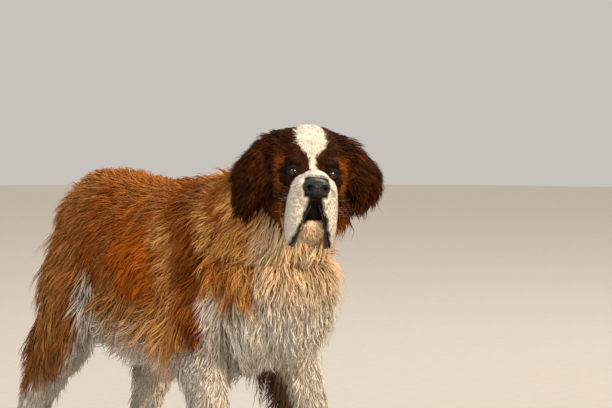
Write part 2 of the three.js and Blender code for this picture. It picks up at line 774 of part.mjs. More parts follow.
const COAT_OF = { head: "coat_dark", ear: "coat_dark", foreleg: "coat_white" };
for (const [name, solid] of Object.entries(flesh)) {
  addNode(name, grown(name, solid), COAT_OF[name.split("_")[0]] ?? "coat_red");
}
addNode("lower_jaw", lowerJaw, "coat_white");
addNode("nose", nose, "nose_leather");
SIDES.forEach(([sideName], i) => {
  addNode("lip_" + sideName, lips[i], "lip_skin");
  addNode("eye_" + sideName, eyes[i], "eye");
});
for (const [name, { paw, claws }] of Object.entries(paws)) {
  addNode(name.replace("leg", "paw"), paw, "coat_white");
  claws.forEach((claw, i) => addNode(`claw_${name.replace("leg", "")}_${i + 1}`, claw, "claw"));
}

// The origin: the middle of the whole box, on the floor
const box = new THREE.Box3().setFromObject(dog);
dog.position.set(-(box.min.x + box.max.x) / 2, -(box.min.y + box.max.y) / 2, -box.min.z);

export default dog;
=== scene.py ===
import math

import bpy
import numpy as np
from bpy.props import FloatProperty, FloatVectorProperty, IntProperty, PointerProperty
from mathutils import Matrix, Vector
from mathutils.kdtree import KDTree


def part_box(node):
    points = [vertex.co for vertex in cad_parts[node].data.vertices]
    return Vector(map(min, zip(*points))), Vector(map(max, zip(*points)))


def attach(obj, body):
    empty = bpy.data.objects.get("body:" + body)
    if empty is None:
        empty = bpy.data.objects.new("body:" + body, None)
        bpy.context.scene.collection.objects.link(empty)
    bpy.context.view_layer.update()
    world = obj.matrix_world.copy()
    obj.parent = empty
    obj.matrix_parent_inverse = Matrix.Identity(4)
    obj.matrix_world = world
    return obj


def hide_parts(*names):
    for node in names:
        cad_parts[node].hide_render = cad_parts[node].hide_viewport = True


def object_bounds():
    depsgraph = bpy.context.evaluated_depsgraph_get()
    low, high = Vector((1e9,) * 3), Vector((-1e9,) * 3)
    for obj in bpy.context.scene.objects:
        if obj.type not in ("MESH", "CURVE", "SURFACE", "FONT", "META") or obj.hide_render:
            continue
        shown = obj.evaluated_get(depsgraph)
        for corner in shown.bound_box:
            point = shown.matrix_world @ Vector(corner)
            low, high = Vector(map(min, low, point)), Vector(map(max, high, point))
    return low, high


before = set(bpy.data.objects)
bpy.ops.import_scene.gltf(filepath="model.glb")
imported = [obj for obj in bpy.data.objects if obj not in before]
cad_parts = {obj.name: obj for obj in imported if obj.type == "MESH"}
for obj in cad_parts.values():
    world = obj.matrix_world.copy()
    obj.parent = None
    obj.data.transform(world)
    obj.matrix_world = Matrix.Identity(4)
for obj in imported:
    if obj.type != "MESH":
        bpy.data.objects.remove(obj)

bl_info = {
    "name": "Saint Bernard, still model",
    "version": (1, 0, 0),
    "blender": (4, 5, 0),
    "location": "3D View > Sidebar > Saint Bernard",
    "description": "Dresses a life-size Saint Bernard in mid step with skin, coat, eyes, nose and claws",
    "category": "Object",
}

# All lengths below are in millimetres before they are placed, with x the way the body heads,
# y the dog's left and z up. The head has its own axes: x out of the nose, y left, z up.
CAD_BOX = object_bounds()
HEAD_AT = np.array((356.0, -52.0, 787.0))
HEAD_TURN = np.array(
    Matrix.Rotation(math.radians(-31.5), 3, "Z")
    @ Matrix.Rotation(math.radians(-7.5), 3, "Y")
    @ Matrix.Rotation(math.radians(-5.0), 3, "X")
)
EYE_AT = np.array((37.0, 38.0, -2.0))
EYE_RADIUS = 12.5
SIDES = (("right", -1), ("left", 1))

# Edge of the cells that join the forms, in metres, and the triangles left on the skin
VOXEL = 0.004
SKIN_TRIANGLES = 176000
# Tufts that share a clump, and the side of a tuft's patch in the map
CLUMP = 13
TUFT_PATCH = 0.003
# Width of the map's rows of charts and the gap between charts, in millimetres
MAP_WIDTH = 2600.0
MAP_GAP = 12
# Unevenness of the coat's brightness from clump to clump, where it is long and where it is short
UNEVEN = 0.13
SHORT_UNEVEN = 0.05
# The place the camera looks at, the side it looks from, its distance in metres and its lens
LOOK_AT = np.array((110.0, 129.6, 695.8))
LOOK_FROM = (0.785, -0.613, 0.0872)
CAMERA_METRES = 7.0
LENS, SENSOR = 191.5, 36.0
# The round floor's rings in metres, the points on each, and how far it lies under the paws
FLOOR_RINGS = (0.5, 2.0, 5.0, 9.0)
FLOOR_POINTS = 96
FLOOR_DEPTH = 0.0015

# Parts of the skin, as numbers kept on its faces
TORSO, NECK, TAIL, SKULL, MUZZLE, JAW, EAR_R, EAR_L, FORE_R, FORE_L, HIND_R, HIND_L, PAWS, LID = range(14)

# [x, y, z, half width, height above the middle, depth below it]
TORSO_STATIONS = [
    [-552, 0, 606, 48, 56, 74], [-508, 0, 604, 78, 98, 114], [-440, 0, 602, 106, 130, 158],
    [-360, 0, 592, 117, 142, 178], [-270, 0, 580, 126, 146, 182], [-160, 0, 566, 140, 160, 182],
    [-60, 0, 560, 146, 180, 184], [20, 0, 555, 144, 195, 180], [95, 0, 548, 138, 170, 166],
    [170, 0, 542, 126, 130, 138], [238, 0, 536, 92, 90, 96],
]
NECK_STATIONS = [
    [20, 0, 606, 120, 138, 130], [110, 0, 646, 122, 120, 138], [190, -6, 704, 110, 102, 128],
    [250, -14, 752, 100, 92, 112], [296, -22, 784, 88, 80, 88],
]
TAIL_STATIONS = [
    [-514, 0, 664, 42, 38, 40], [-572, -2, 640, 36, 34, 34], [-612, -4, 555, 31, 30, 30],
    [-634, -6, 450, 27, 26, 26], [-658, -10, 345, 22, 21, 21], [-692, -16, 250, 14, 14, 14],
]
LEG_STATIONS = {
    FORE_R: [
        [124, -76, 590, 52, 64, 70], [88, -106, 495, 56, 70, 78], [62, -114, 405, 51, 62, 68],
        [82, -112, 310, 43, 47, 52], [98, -112, 230, 38, 39, 43], [106, -112, 165, 39, 40, 41],
        [112, -112, 100, 36, 37, 38], [122, -112, 52, 39, 38, 40],
    ],
    FORE_L: [
        [142, 76, 590, 52, 64, 70], [114, 106, 495, 56, 70, 78], [80, 112, 405, 51, 60, 68],
        [126, 112, 310, 43, 45, 52], [162, 112, 230, 38, 38, 43], [192, 112, 165, 39, 40, 41],
        [222, 112, 100, 36, 37, 38], [246, 112, 52, 39, 38, 40],
    ],
    HIND_R: [
        [-452, -62, 600, 48, 92, 66], [-438, -100, 505, 52, 100, 84], [-444, -112, 415, 50, 82, 82],
        [-508, -114, 310, 42, 56, 60], [-566, -112, 230, 34, 38, 46], [-594, -112, 185, 33, 34, 40],
        [-598, -112, 115, 32, 33, 34], [-588, -112, 52, 36, 36, 36],
    ],
    HIND_L: [
        [-440, 62, 600, 48, 88, 66], [-400, 100, 505, 52, 98, 84], [-372, 112, 415, 50, 80, 80],
        [-408, 114, 310, 42, 56, 60], [-446, 112, 230, 34, 38, 46], [-462, 112, 185, 33, 34, 40],
        [-448, 112, 115, 32, 33, 34], [-430, 112, 52, 36, 36, 36],
    ],
}
# Heel's place, turn in degrees and size of each paw
PAW_PLACES = {
    FORE_R: ((132, -112, 0), -4, 1.0), FORE_L: ((258, 112, 0), 4, 1.0),
    HIND_R: ((-574, -112, 0), -5, 0.9), HIND_L: ((-414, 112, 0), 5, 0.9),
}
TOES = ((26, -34), (42, -12), (42, 12), (26, 34))

# The head, in its own axes: [x, top, bottom, half width]
SKULL_SECTIONS = [
    [-112, 62, -62, 60], [-88, 92, -88, 86], [-50, 103, -98, 97], [-16, 94, -98, 92],
    [10, 66, -96, 78], [30, 24, -90, 62], [56, 2, -84, 51], [88, -3, -80, 47],
    [116, -7, -76, 45], [136, -12, -68, 40],
]
# [x, y, z, half width, half height] of the hanging upper lip on the left
FLEW_SECTIONS = [
    [137, 17, -58, 13, 20], [127, 31, -78, 13, 46], [102, 38, -92, 13, 62],
    [70, 40, -92, 13, 62], [38, 44, -80, 14, 46], [8, 50, -64, 14, 24],
]
LIP_POINTS = [
    [136, 8, -76], [129, 19, -100], [118, 29, -128], [97, 34, -150], [72, 36, -151], [46, 40, -130],
]
JAW_STATIONS = [
    [114, 0, -116, 19, 15, 22], [96, 0, -115, 23, 20, 27], [64, 0, -110, 24, 22, 29],
    [30, 0, -100, 25, 20, 28], [6, 0, -90, 25, 16, 24],
]
NOSE_STATIONS = [
    [124, 0, -36, 23, 15, 18], [136, 0, -37, 29, 19, 21], [148, 0, -39, 26, 17, 19],
    [155, 0, -41, 16, 10, 14],
]

# Coat colours, linear
WHITE = np.array((0.86, 0.78, 0.68))
CREAM = np.array((0.98, 0.66, 0.37))
GOLD = np.array((0.98, 0.50, 0.15))
TAN = np.array((0.52, 0.24, 0.07))
RED = np.array((0.43, 0.115, 0.012))
ORANGE = np.array((0.64, 0.16, 0.01))
CHESTNUT = np.array((0.20, 0.052, 0.007))
BROWN = np.array((0.055, 0.015, 0.003))
BLACK = np.array((0.014, 0.008, 0.006))


def unit(v):
    v = np.asarray(v, float)
    return v / np.maximum(np.linalg.norm(v, axis=-1, keepdims=True), 1e-9)


def from_head(points):
    """Points in the head's own axes, put where the head is."""
    return np.asarray(points, float) @ HEAD_TURN.T + HEAD_AT


def to_head(points):
    return (np.asarray(points, float) - HEAD_AT) @ HEAD_TURN


def offset():
    """From the sizes' own zero to the frame's, by the right eye's place."""
    low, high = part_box("eye_right")
    middle = np.array([(a + b) * 500.0 for a, b in zip(low, high)])
    return middle - from_head(EYE_AT * (1, -1, 1))


OFFSET = offset()


def in_mm(box):
    """Both corners of a box in the frame, as millimetres from the sizes' own zero."""
    return [np.array(corner) * 1000 - OFFSET for corner in box]


def step(low, high, value):
    """0 below low, 1 above high and smooth between; low may be the greater."""
    t = np.clip((value - low) / (high - low), 0, 1)
    return t * t * (3 - 2 * t)


def mix(a, b, share):
    share = np.asarray(share)[..., None]
    return a * (1 - share) + b * share


def ripple(points, size, seed):
    """A smooth random value from about -1 to 1 that changes over the given size."""
    rng = np.random.default_rng(seed)
    total = np.zeros(len(points))
    for scale, weight in ((1.0, 0.5), (0.6, 0.3), (0.33, 0.2)):
        for _ in range(3):
            way = unit(rng.normal(size=3)) * 2 * math.pi / (size * scale)
            total += weight * np.sin(points @ way + rng.uniform(0, 6.28)) / 1.6
    return total


def spline(rows, t):
    """A Catmull-Rom curve through the rows, read at the places t from 0 to the last row."""
    s = np.asarray(rows, float)
    s = np.vstack([2 * s[0] - s[1], s, 2 * s[-1] - s[-2]])
    i = np.clip(np.floor(t).astype(int), 0, len(rows) - 2)
    f = (t - i)[:, None]
    a, b, c, d = s[i], s[i + 1], s[i + 2], s[i + 3]
    return 0.5 * (2 * b + (c - a) * f + (2 * a - 5 * b + 4 * c - d) * f**2 + (3 * b - a - 3 * c + d) * f**3)


def grid_faces(rings, radial, wrap=False):
    """Faces between neighbouring rings of points, and from the last to the first with wrap."""
    faces = []
    for i in range(rings if wrap else rings - 1):
        for j in range(radial):
            k, m = (j + 1) % radial, (i + 1) % rings
            faces.append((i * radial + j, m * radial + j, m * radial + k, i * radial + k))
    return faces


def closed_faces(rings, radial):
    """Faces of a form whose rings end in a point at each end."""
    faces = [(a, d, c, b) for a, b, c, d in grid_faces(rings, radial)]
    first, last = rings * radial, (rings - 1) * radial
    for j in range(radial):
        k = (j + 1) % radial
        faces += [(first, k, j), (first + 1, last + j, last + k)]
    return faces


def loft(stations, up, square=2.0, dome=0.5, cup=0.0, axis=None, inset=0.0, radial=40, rows=56):
    """Points and faces of a closed, domed form through the stations."""
    t = np.linspace(0, len(stations) - 1, rows)
    r = spline(stations, t)
    centre = r[:, :3]
    along = np.tile(unit(axis), (rows, 1)) if axis is not None else unit(np.gradient(centre, axis=0))
    side = unit(np.cross(along, up))
    lift = unit(np.cross(side, along))
    sizes = np.maximum(r[:, 3:] - inset, 2.0)
    angle = np.linspace(0, 2 * math.pi, radial, endpoint=False)
    c = np.sign(np.cos(angle)) * np.abs(np.cos(angle)) ** (2 / square)
    s = np.sign(np.sin(angle)) * np.abs(np.sin(angle)) ** (2 / square)

    def ring(i, shrink, push):
        high = np.where(s > 0, sizes[i, 1], sizes[i, 2]) * s - c * c * cup
        out = np.outer(c * sizes[i, 0], side[i]) + np.outer(high, lift[i])
        return centre[i] + out * shrink + along[i] * push

    def domed(i, way, shares):
        depth = way * dome * min(sizes[i, 0], sizes[i, 1])
        return [ring(i, math.cos(past * math.pi / 2), depth * math.sin(past * math.pi / 2)) for past in shares]

    shares = (0.3, 0.55, 0.8, 0.97)
    rings = domed(0, -1, shares[::-1]) + [ring(i, 1, 0) for i in range(rows)] + domed(-1, 1, shares)
    points = np.vstack(rings + [rings[0].mean(0), rings[-1].mean(0)])
    return points, closed_faces(len(rings), radial)


def ellipsoid(centre, sizes, radial=32, rings=28):
    angle = np.linspace(0, 2 * math.pi, radial, endpoint=False)
    c, s = np.cos(angle), np.sin(angle)
    out = []
    for p in np.linspace(0.03, math.pi - 0.03, rings):
        out.append(np.stack([np.full(radial, -math.cos(p)), math.sin(p) * -c, math.sin(p) * s], 1))
    out = np.vstack(out + [[[-1, 0, 0]], [[1, 0, 0]]])
    return np.asarray(centre) + out * np.asarray(sizes), closed_faces(rings, radial)


def ear_form(side, inset=0.0):
    swing = 4 if side < 0 else 15
    stations = []
    for share, width in zip((0, 0.22, 0.5, 0.78, 1), (0.5, 0.84, 1, 0.7, 0.2)):
        out = 66 + 56 * math.sin(min(share * 2.1, math.pi / 2)) + swing * share
        out -= 62 * max(share - 0.5, 0) * (side > 0)
        z = 70 - 158 * share * (1 - (swing / 60) * share)
        thick = 6.5 - 2.5 * share
        stations.append([-34 + 14 * share, side * out, z, 56 * width, thick, thick])
    return loft(stations, (0.66, side * 0.72, 0.18), cup=16, inset=inset, radial=48)


def paw_form(key):
    heel, turn, size = PAW_PLACES[key]
    c, s = math.cos(math.radians(turn)), math.sin(math.radians(turn))
    turned = np.array(((c, -s, 0), (s, c, 0), (0, 0, 1)))
    forms = [ellipsoid((0, 0, 29), (43, 39, 30))]
    forms += [ellipsoid((reach, y, 19.5), (26, 13.2, 21)) for reach, y in TOES]
    placed = []
    for points, faces in forms:
        points[:, 2] = np.maximum(points[:, 2], 1.2)
        placed.append(((points * size) @ turned.T + heel, faces))
    return placed


def flesh_forms(depth):
    """Every form under the coat: (part, points, faces)."""
    forms = [
        (TORSO, *loft(TORSO_STATIONS, (0, 0, 1), inset=depth, rows=90, radial=64)),
        (NECK, *loft(NECK_STATIONS, (0, 0, 1), inset=depth, rows=50, radial=56)),
        (TAIL, *loft(TAIL_STATIONS, (0, 1, 0), inset=depth * 0.7, dome=1, rows=60)),
    ]
    for key, stations in LEG_STATIONS.items():
        sizes = np.array(stations, float)
        shrink = np.interp(sizes[:, 2], (60, 180, 480), (1.5, 4, depth))
        sizes[:, 3:] -= shrink[:, None]
        forms.append((key, *loft(sizes, (1, 0, 0), dome=0.4, rows=80)))
        forms += [(PAWS, *form) for form in paw_form(key)]
    skull = [[x, 0, (t + b) / 2, half, (t - b) / 2, (t - b) / 2] for x, t, b, half in SKULL_SECTIONS]
    head = [(SKULL, *loft(skull, (0, 0, 1), square=2.1, dome=0.3, axis=(1, 0, 0), inset=2.5, rows=80, radial=64))]
    head.append((JAW, *loft(JAW_STATIONS, (0, 0, 1), inset=1.5)))
    head.append((MUZZLE, *ellipsoid((104, 0, -22), (30, 30, 22))))
    head.append((MUZZLE, *ellipsoid((112, 0, -80), (16, 24, 24))))
    for _, side in SIDES:
        flew = [[x, y * side, z, half, high, high] for x, y, z, half, high in FLEW_SECTIONS]
        head.append((MUZZLE, *loft(flew, (0, 0, 1), square=2.2, dome=0.8, axis=(-1, 0, 0), inset=1.0)))
        head.append((SKULL, *ellipsoid((28, 37 * side, 20), (14, 18, 9))))
        head.append((SKULL, *ellipsoid((24, 46 * side, -18), (24, 18, 16))))
        head.append((EAR_R if side < 0 else EAR_L, *ear_form(side, 0.8)))
    return forms + [(part, from_head(points), faces) for part, points, faces in head]


# Meshes


def mesh_object(name, points, faces):
    """A mesh piece in the frame, from points in millimetres and faces of any size."""
    mesh = bpy.data.meshes.new(name)
    mesh.from_pydata(((np.asarray(points) + OFFSET) / 1000).tolist(), [], [tuple(f) for f in faces])
    mesh.update()
    mesh.polygons.foreach_set("use_smooth", [True] * len(mesh.polygons))
    piece = bpy.data.objects.new(name, mesh)
    bpy.context.scene.collection.objects.link(piece)
    return piece


def triangle_object(name, points, triangles):
    """The same for a great many triangles."""
    mesh = bpy.data.meshes.new(name)
    mesh.vertices.add(len(points))
    mesh.vertices.foreach_set("co", ((points + OFFSET) / 1000).astype(np.float32).ravel())
    mesh.loops.add(triangles.size)
    mesh.loops.foreach_set("vertex_index", triangles.astype(np.int32).ravel())
    mesh.polygons.add(len(triangles))
    mesh.polygons.foreach_set("loop_start", np.arange(0, triangles.size, 3, dtype=np.int32))
    mesh.polygons.foreach_set("use_smooth", np.ones(len(triangles), bool))
    mesh.update(calc_edges=True)
    mesh.validate()
    piece = bpy.data.objects.new(name, mesh)
    bpy.context.scene.collection.objects.link(piece)
    return piece


def join_forms(forms):
    points, faces, start = [], [], 0
    for p, f in forms:
        points.append(p)
        faces += [tuple(i + start for i in face) for face in f]
        start += len(p)
    return np.vstack(points), faces


def settle(piece):
    """The evaluated mesh takes the place of the piece's own, and its modifiers go."""
    graph = bpy.context.evaluated_depsgraph_get()
    mesh = bpy.data.meshes.new_from_object(piece.evaluated_get(graph))
    piece.modifiers.clear()
    piece.data = mesh
    mesh.name = piece.name


def add_colours(mesh, name, colours):
    layer = mesh.color_attributes.new(name=name, type="FLOAT_COLOR", domain="POINT")
    rgba = np.ones((len(mesh.vertices), 4), np.float32)
    rgba[:, : colours.shape[1]] = colours
    layer.data.foreach_set("color", rgba.ravel())


def add_uv(mesh, name, values):
    layer = mesh.uv_layers.new(name=name)
    layer.data.foreach_set("uv", np.asarray(values, np.float32).ravel())


def read(items, key, width=1, kind=np.float32):
    """One value of each item of a mesh, in rows of the given width."""
    store = np.zeros(len(items) * width, kind)
    items.foreach_get(key, store)
    return store.reshape(-1, width)


def corner_points(mesh):
    return read(mesh.vertices, "co", 3).astype(float) * 1000 - OFFSET


def corner_normals(mesh):
    return read(mesh.vertex_normals, "vector", 3).astype(float)


def triangle_corners(mesh):
    return read(mesh.loops, "vertex_index", 1, np.int32).reshape(-1, 3)


def mesh_arrays(mesh):
    """A mesh of triangles as arrays: points, normals, corners and map places."""
    uv = read(mesh.uv_layers["OFBake"].data, "uv", 2).reshape(-1, 3, 2)
    return corner_points(mesh), corner_normals(mesh), triangle_corners(mesh), uv


def finish_piece(piece, material, slot, *nodes):
    piece.data.materials.clear()
    piece.data.materials.append(material)
    if nodes:
        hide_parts(*nodes)
    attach(piece, "root")


# Markings


def head_markings(h):
    """Colour of the face and skull, from the place in the head's own axes."""
    x, y, z = h.T
    wide = np.abs(y)
    edge = ripple(h, 26, 31) * 3.5
    fine = ripple(h, 9, 32)
    colour = mix(BROWN * 0.5, CHESTNUT * 0.7, np.clip(0.04 + 0.5 * ripple(h, 26, 33), 0, 0.7))
    # Russet beside the eyes and on the cheeks
    russet = np.exp(-(((wide - 62) / 7) ** 2) - ((z + 2) / 27) ** 2) * step(-40, -10, x)
    colour = mix(colour, ORANGE * 0.9, np.clip(russet * 1.15, 0, 1))
    cheek = step(-52, -78, z + edge) * step(70 + 20 * (y > 0), 30 + 30 * (y > 0), x)
    colour = mix(colour, mix(BROWN, ORANGE, 0.35 + 0.4 * (y > 0)), cheek * 0.8)
    colour = mix(colour, CREAM, step(-92, -112, z + edge) * step(80, 40, x) * step(10, -10, y) * 0.7)
    # Dark rings round the eyes, and the brows
    ring = np.linalg.norm((h * (1, 0, 1) + np.stack([0 * x, wide, 0 * x], 1)) - EYE_AT, axis=1)
    colour = mix(colour, BROWN * 0.45, step(44, 26, ring))
    colour = mix(colour, BLACK, step(24, 15, ring))
    stop = step(40, 18, wide) * step(20, 44, x) * step(66, 52, x)
    colour = mix(colour, BROWN * 0.7, stop)
    # Blaze over the forehead and crown
    half = 5.5 + 21 * step(24, 62, z) - 9 * step(0, -70, x)
    shift = -0.10 * np.clip(z - 50, 0, 60)
    blaze = step(half + 4, half - 2, np.abs(y - shift) + edge * 0.7) * step(-20, 0, z)
    blaze *= step(-112, -70, x)
    colour = mix(colour, WHITE, blaze)
    # White muzzle, its upper end an arch
    muzzle = step(-2, 5, x - 64 - 0.42 * wide + 0.3 * np.clip(-z - 30, 0, 60) + edge * 0.5)
    colour = mix(colour, WHITE, muzzle)
    # Dark split under the nose, down to the inner edges of the lips
    legs = 13 + 0.29 * np.clip(-58 - z, 0, 100) + edge * 0.7
    split = step(legs + 5, legs - 2, wide) * step(-50, -58, z) * step(74, 90, x)
    colour = mix(colour, BLACK, split)
    pad = step(27, 24, wide) * step(126, 134, x) * step(-62, -57, z) * step(-12, -18, z)
    colour = mix(colour, BLACK, pad)
    return colour * (1 + 0.05 * fine[:, None])


def markings(p, n, part):
    """Coat colour at each point, from its place, the way it faces and its part."""
    x, y, z = p.T
    nx, ny, nz = n.T
    broad = ripple(p, 170, 41)
    patch = ripple(p, 70, 42)
    edge = ripple(p, 90, 43) * 22
    out = np.sign(y) * ny
    # Torso: a red mantle, brown over the shoulder, paling down the flank to a white belly
    fine = ripple(p, 26, 46)
    mantle = mix(RED, TAN * 0.8, np.clip(0.3 + 0.6 * broad, 0, 0.7))
    mantle = mix(mantle, CHESTNUT, np.clip(patch * 0.5 + fine * 0.3, 0, 0.5))
    blazing = np.exp(-(((x + 105) / 105) ** 2) - ((z - 590) / 75) ** 2)
    mantle = mix(mantle, ORANGE, np.clip(blazing * 1.2, 0, 0.9))
    mantle = mix(mantle, TAN, step(-300, -430, x) * 0.35)
    hem = 500 - 70 * step(-110, -20, x) - 50 * step(-20, 40, x) * step(190, 130, x) + edge
    hem = hem - 70 * step(-330, -430, x)
    torso = mix(mantle, TAN, step(hem + 50, hem - 10, z))
    torso = mix(torso, WHITE * 0.9, step(hem - 10, hem - 90, z))
    torso = mix(torso, WHITE, step(-0.35, -0.7, nz) * step(-470, -420, x))
    # From the shoulder forwards: a painted highlight along the ridge of fur behind the shoulder, red-brown, gold with
    # dark streaks, then white
    ahead = x - 110 + 1.28 * (150 - np.abs(y)) + edge * 0.8
    # Painted highlight: a gold streak down the lit ridge of fur at the shoulder's rear edge
    streak = np.exp(-(((ahead + 88) / 26) ** 2)) * step(410, 450, z) * step(700, 650, z)
    torso = mix(torso, GOLD, streak * 0.85)
    shoulder = step(-50, -34, ahead) * step(395, 430, z)
    torso = mix(torso, mix(RED, CHESTNUT, np.clip(0.4 + patch, 0, 1)), shoulder * 0.8)
    dark = np.clip(ripple(p, 30, 44) * 1.3 - 0.15, 0, 0.9)
    collar = mix(mix(GOLD, mix(RED, ORANGE, 0.5), np.clip(0.12 + patch, 0, 1)), CHESTNUT, dark)
    torso = mix(torso, collar, step(26, 50, ahead) * step(490, 520, z))
    # The bib: cream above, and white darkened by painted shade on the lower chest
    bib_with_painted_shade = mix(WHITE * 0.78, CREAM, step(510, 620, z) * 0.85)
    high = 30 * step(580, 640, z)
    torso = mix(torso, bib_with_painted_shade, step(168 + high, 196 + high, ahead))
    torso = mix(torso, WHITE, step(14, 38, ahead) * step(556, 520, z))
    # Neck: white in front, gold and dark streaks at the sides, red-brown on the nape
    sides = mix(mantle, mix(RED, CHESTNUT, np.clip(0.3 + patch, 0, 1)), step(-50, -30, ahead))
    sides = mix(sides, collar, step(20, 50, ahead))
    sides = mix(sides, mantle, step(0.35, 0.75, nz))
    sides = mix(sides, BROWN, step(760, 800, z) * 0.7)
    neck = mix(sides, bib_with_painted_shade, step(215, 250, ahead) * step(0.3, 0.0, nz))
    tail = mix(mantle, WHITE, step(370, 320, z + edge))
    # Forelegs: white dimmed by painted shade, brown behind the elbow on the outside, painted shade darkening the
    # feathers inside the left
    fore = np.tile(WHITE * 0.85, (len(p), 1))
    fore = mix(fore, torso, step(412, 442, z + edge * 0.6) * step(-0.4, 0.1, out))
    # Painted shade on the feathers behind the left foreleg
    shade = step(0.1, -0.3, nx) * step(190, 230, z) * (part == FORE_L)
    fore = mix(fore, CHESTNUT, shade * 0.85)
    # Hind legs: red outside down to the hock, white dimmed by painted shade in front, inside and below
    hind = np.tile(WHITE * 0.87, (len(p), 1))
    hind = mix(hind, mix(mantle, TAN, 0.35), step(-0.1, 0.35, out - 1.1 * nx) * step(240, 300, z + edge))
    hind = mix(hind, CHESTNUT, step(-0.35, -0.75, nx) * step(150, 230, z) * 0.75)
    # Paws: white dimmed by painted shade
    paws = np.tile(WHITE * 0.87, (len(p), 1))
    # Ears: dark brown with a warmer root
    h = to_head(p)
    ears = mix(BROWN * 0.75, CHESTNUT * 0.75, np.clip(0.12 + 0.6 * ripple(p, 30, 45), 0, 1))
    ears = mix(ears, ORANGE * 0.6, step(40, 62, h[:, 2]) * 0.12)
    head = head_markings(h)
    table = {TORSO: torso, NECK: neck, TAIL: tail, PAWS: paws, SKULL: head, MUZZLE: head, LID: head}
    table.update({FORE_R: fore, FORE_L: fore, HIND_R: hind, HIND_L: hind, EAR_R: ears, EAR_L: ears})
    # Chin: cream with a faint line of painted shade along its fold, white towards the throat
    chin = mix(mix(WHITE, CREAM, 0.7), CHESTNUT, step(7, 2, np.abs(h[:, 1] - 4)) * step(80, 100, h[:, 0]) * 0.35)
    table[JAW] = mix(chin, WHITE, step(70, 20, h[:, 0]))
    colour = np.zeros((len(p), 3))
    for key, values in table.items():
        chosen = part == key
        colour[chosen] = values[chosen]
    return np.clip(colour, 0, 1)


# Skin


def tree_of(points):
    tree = KDTree(len(points))
    for i, point in enumerate(points):
        tree.insert(point, i)
    tree.balance()
    return tree


def nearest(tree, points):
    return np.array([tree.find(point)[1] for point in points.tolist()])


def sculpt_face(p):
    """Folds of the forehead, the stop and the cheeks, and the eyes' hollows, pressed into the skin."""
    h = to_head(p)
    x, y, z = h.T
    wide = np.abs(y)
    near = step(-60, -30, x) * step(130, 100, x) * (np.abs(h).max(1) < 170)
    push = np.zeros(len(p))
    push -= 3.4 * np.exp(-((wide / 6) ** 2)) * step(16, 34, z) * step(92, 60, z)
    for start, height in ((12, 30), (17, 48)):
        fold = z - height - 0.55 * (wide - start)
        push -= 2.6 * np.exp(-((fold / 3.6) ** 2)) * step(start, start + 10, wide) * step(64, 44, wide)
    push -= 2.5 * np.exp(-(((x - 62 + 0.3 * wide) / 6) ** 2)) * step(-44, -20, z) * step(34, 14, wide)
    push -= 2.6 * np.exp(-(((z + 24 + 0.5 * (x - 30)) / 4.5) ** 2)) * step(26, 36, wide) * step(78, 60, x)
    centre = from_head(np.zeros(3) + (20, 0, -20))
    p = p + unit(p - centre) * (push * near)[:, None]
    for _, side in SIDES:
        eye = from_head(EYE_AT * (1, side, 1))
        away = p - eye
        far = np.linalg.norm(away, axis=1)
        ahead = unit(away) @ (HEAD_TURN @ unit((1, 0.35 * side, 0)))
        hollow = (far < 26) & (ahead > 0.35)
        depth = np.where(far < 15, 9.0, 9.0 + (far - 15) * 1.55)
        target = eye + unit(away) * np.minimum(depth, far)[:, None]
        p[hollow] = target[hollow]
    return p


def chart_uv(points, triangles, part):
    """Each part seen along each axis is one chart, and the charts stand in rows in the map."""
    corner = points[triangles]
    normal = np.cross(corner[:, 1] - corner[:, 0], corner[:, 2] - corner[:, 0])
    axis = np.abs(normal).argmax(1)
    key = part * 6 + axis * 2 + (normal[np.arange(len(normal)), axis] > 0)
    flat = np.zeros((len(triangles), 3, 2))
    charts = []
    for k in np.unique(key):
        chosen = key == k
        a = (k % 6) // 2
        flat[chosen] = corner[chosen][:, :, [(a + 1) % 3, (a + 2) % 3]]
        low = flat[chosen].reshape(-1, 2).min(0)
        size = flat[chosen].reshape(-1, 2).max(0) - low
        charts.append((size[1], size[0], k, low))
    charts.sort(key=lambda c: (-c[0], c[2]))
    x = y = row = 0.0
    for high, wide, k, low in charts:
        if x + wide > MAP_WIDTH:
            x, y, row = 0.0, y + row + MAP_GAP, 0.0
        flat[key == k] += np.array((x, y)) - low
        x += wide + MAP_GAP
        row = max(row, high)
    return flat / max(MAP_WIDTH, y + row) * 0.996 + 0.002


def skin_arrays():
    """The skin's triangles as arrays, the last of them its parts."""
    mesh = bpy.data.objects["skin"].data
    return (*mesh_arrays(mesh), read(mesh.attributes["part"].data, "value", 1, np.int32)[:, 0])


# Coat


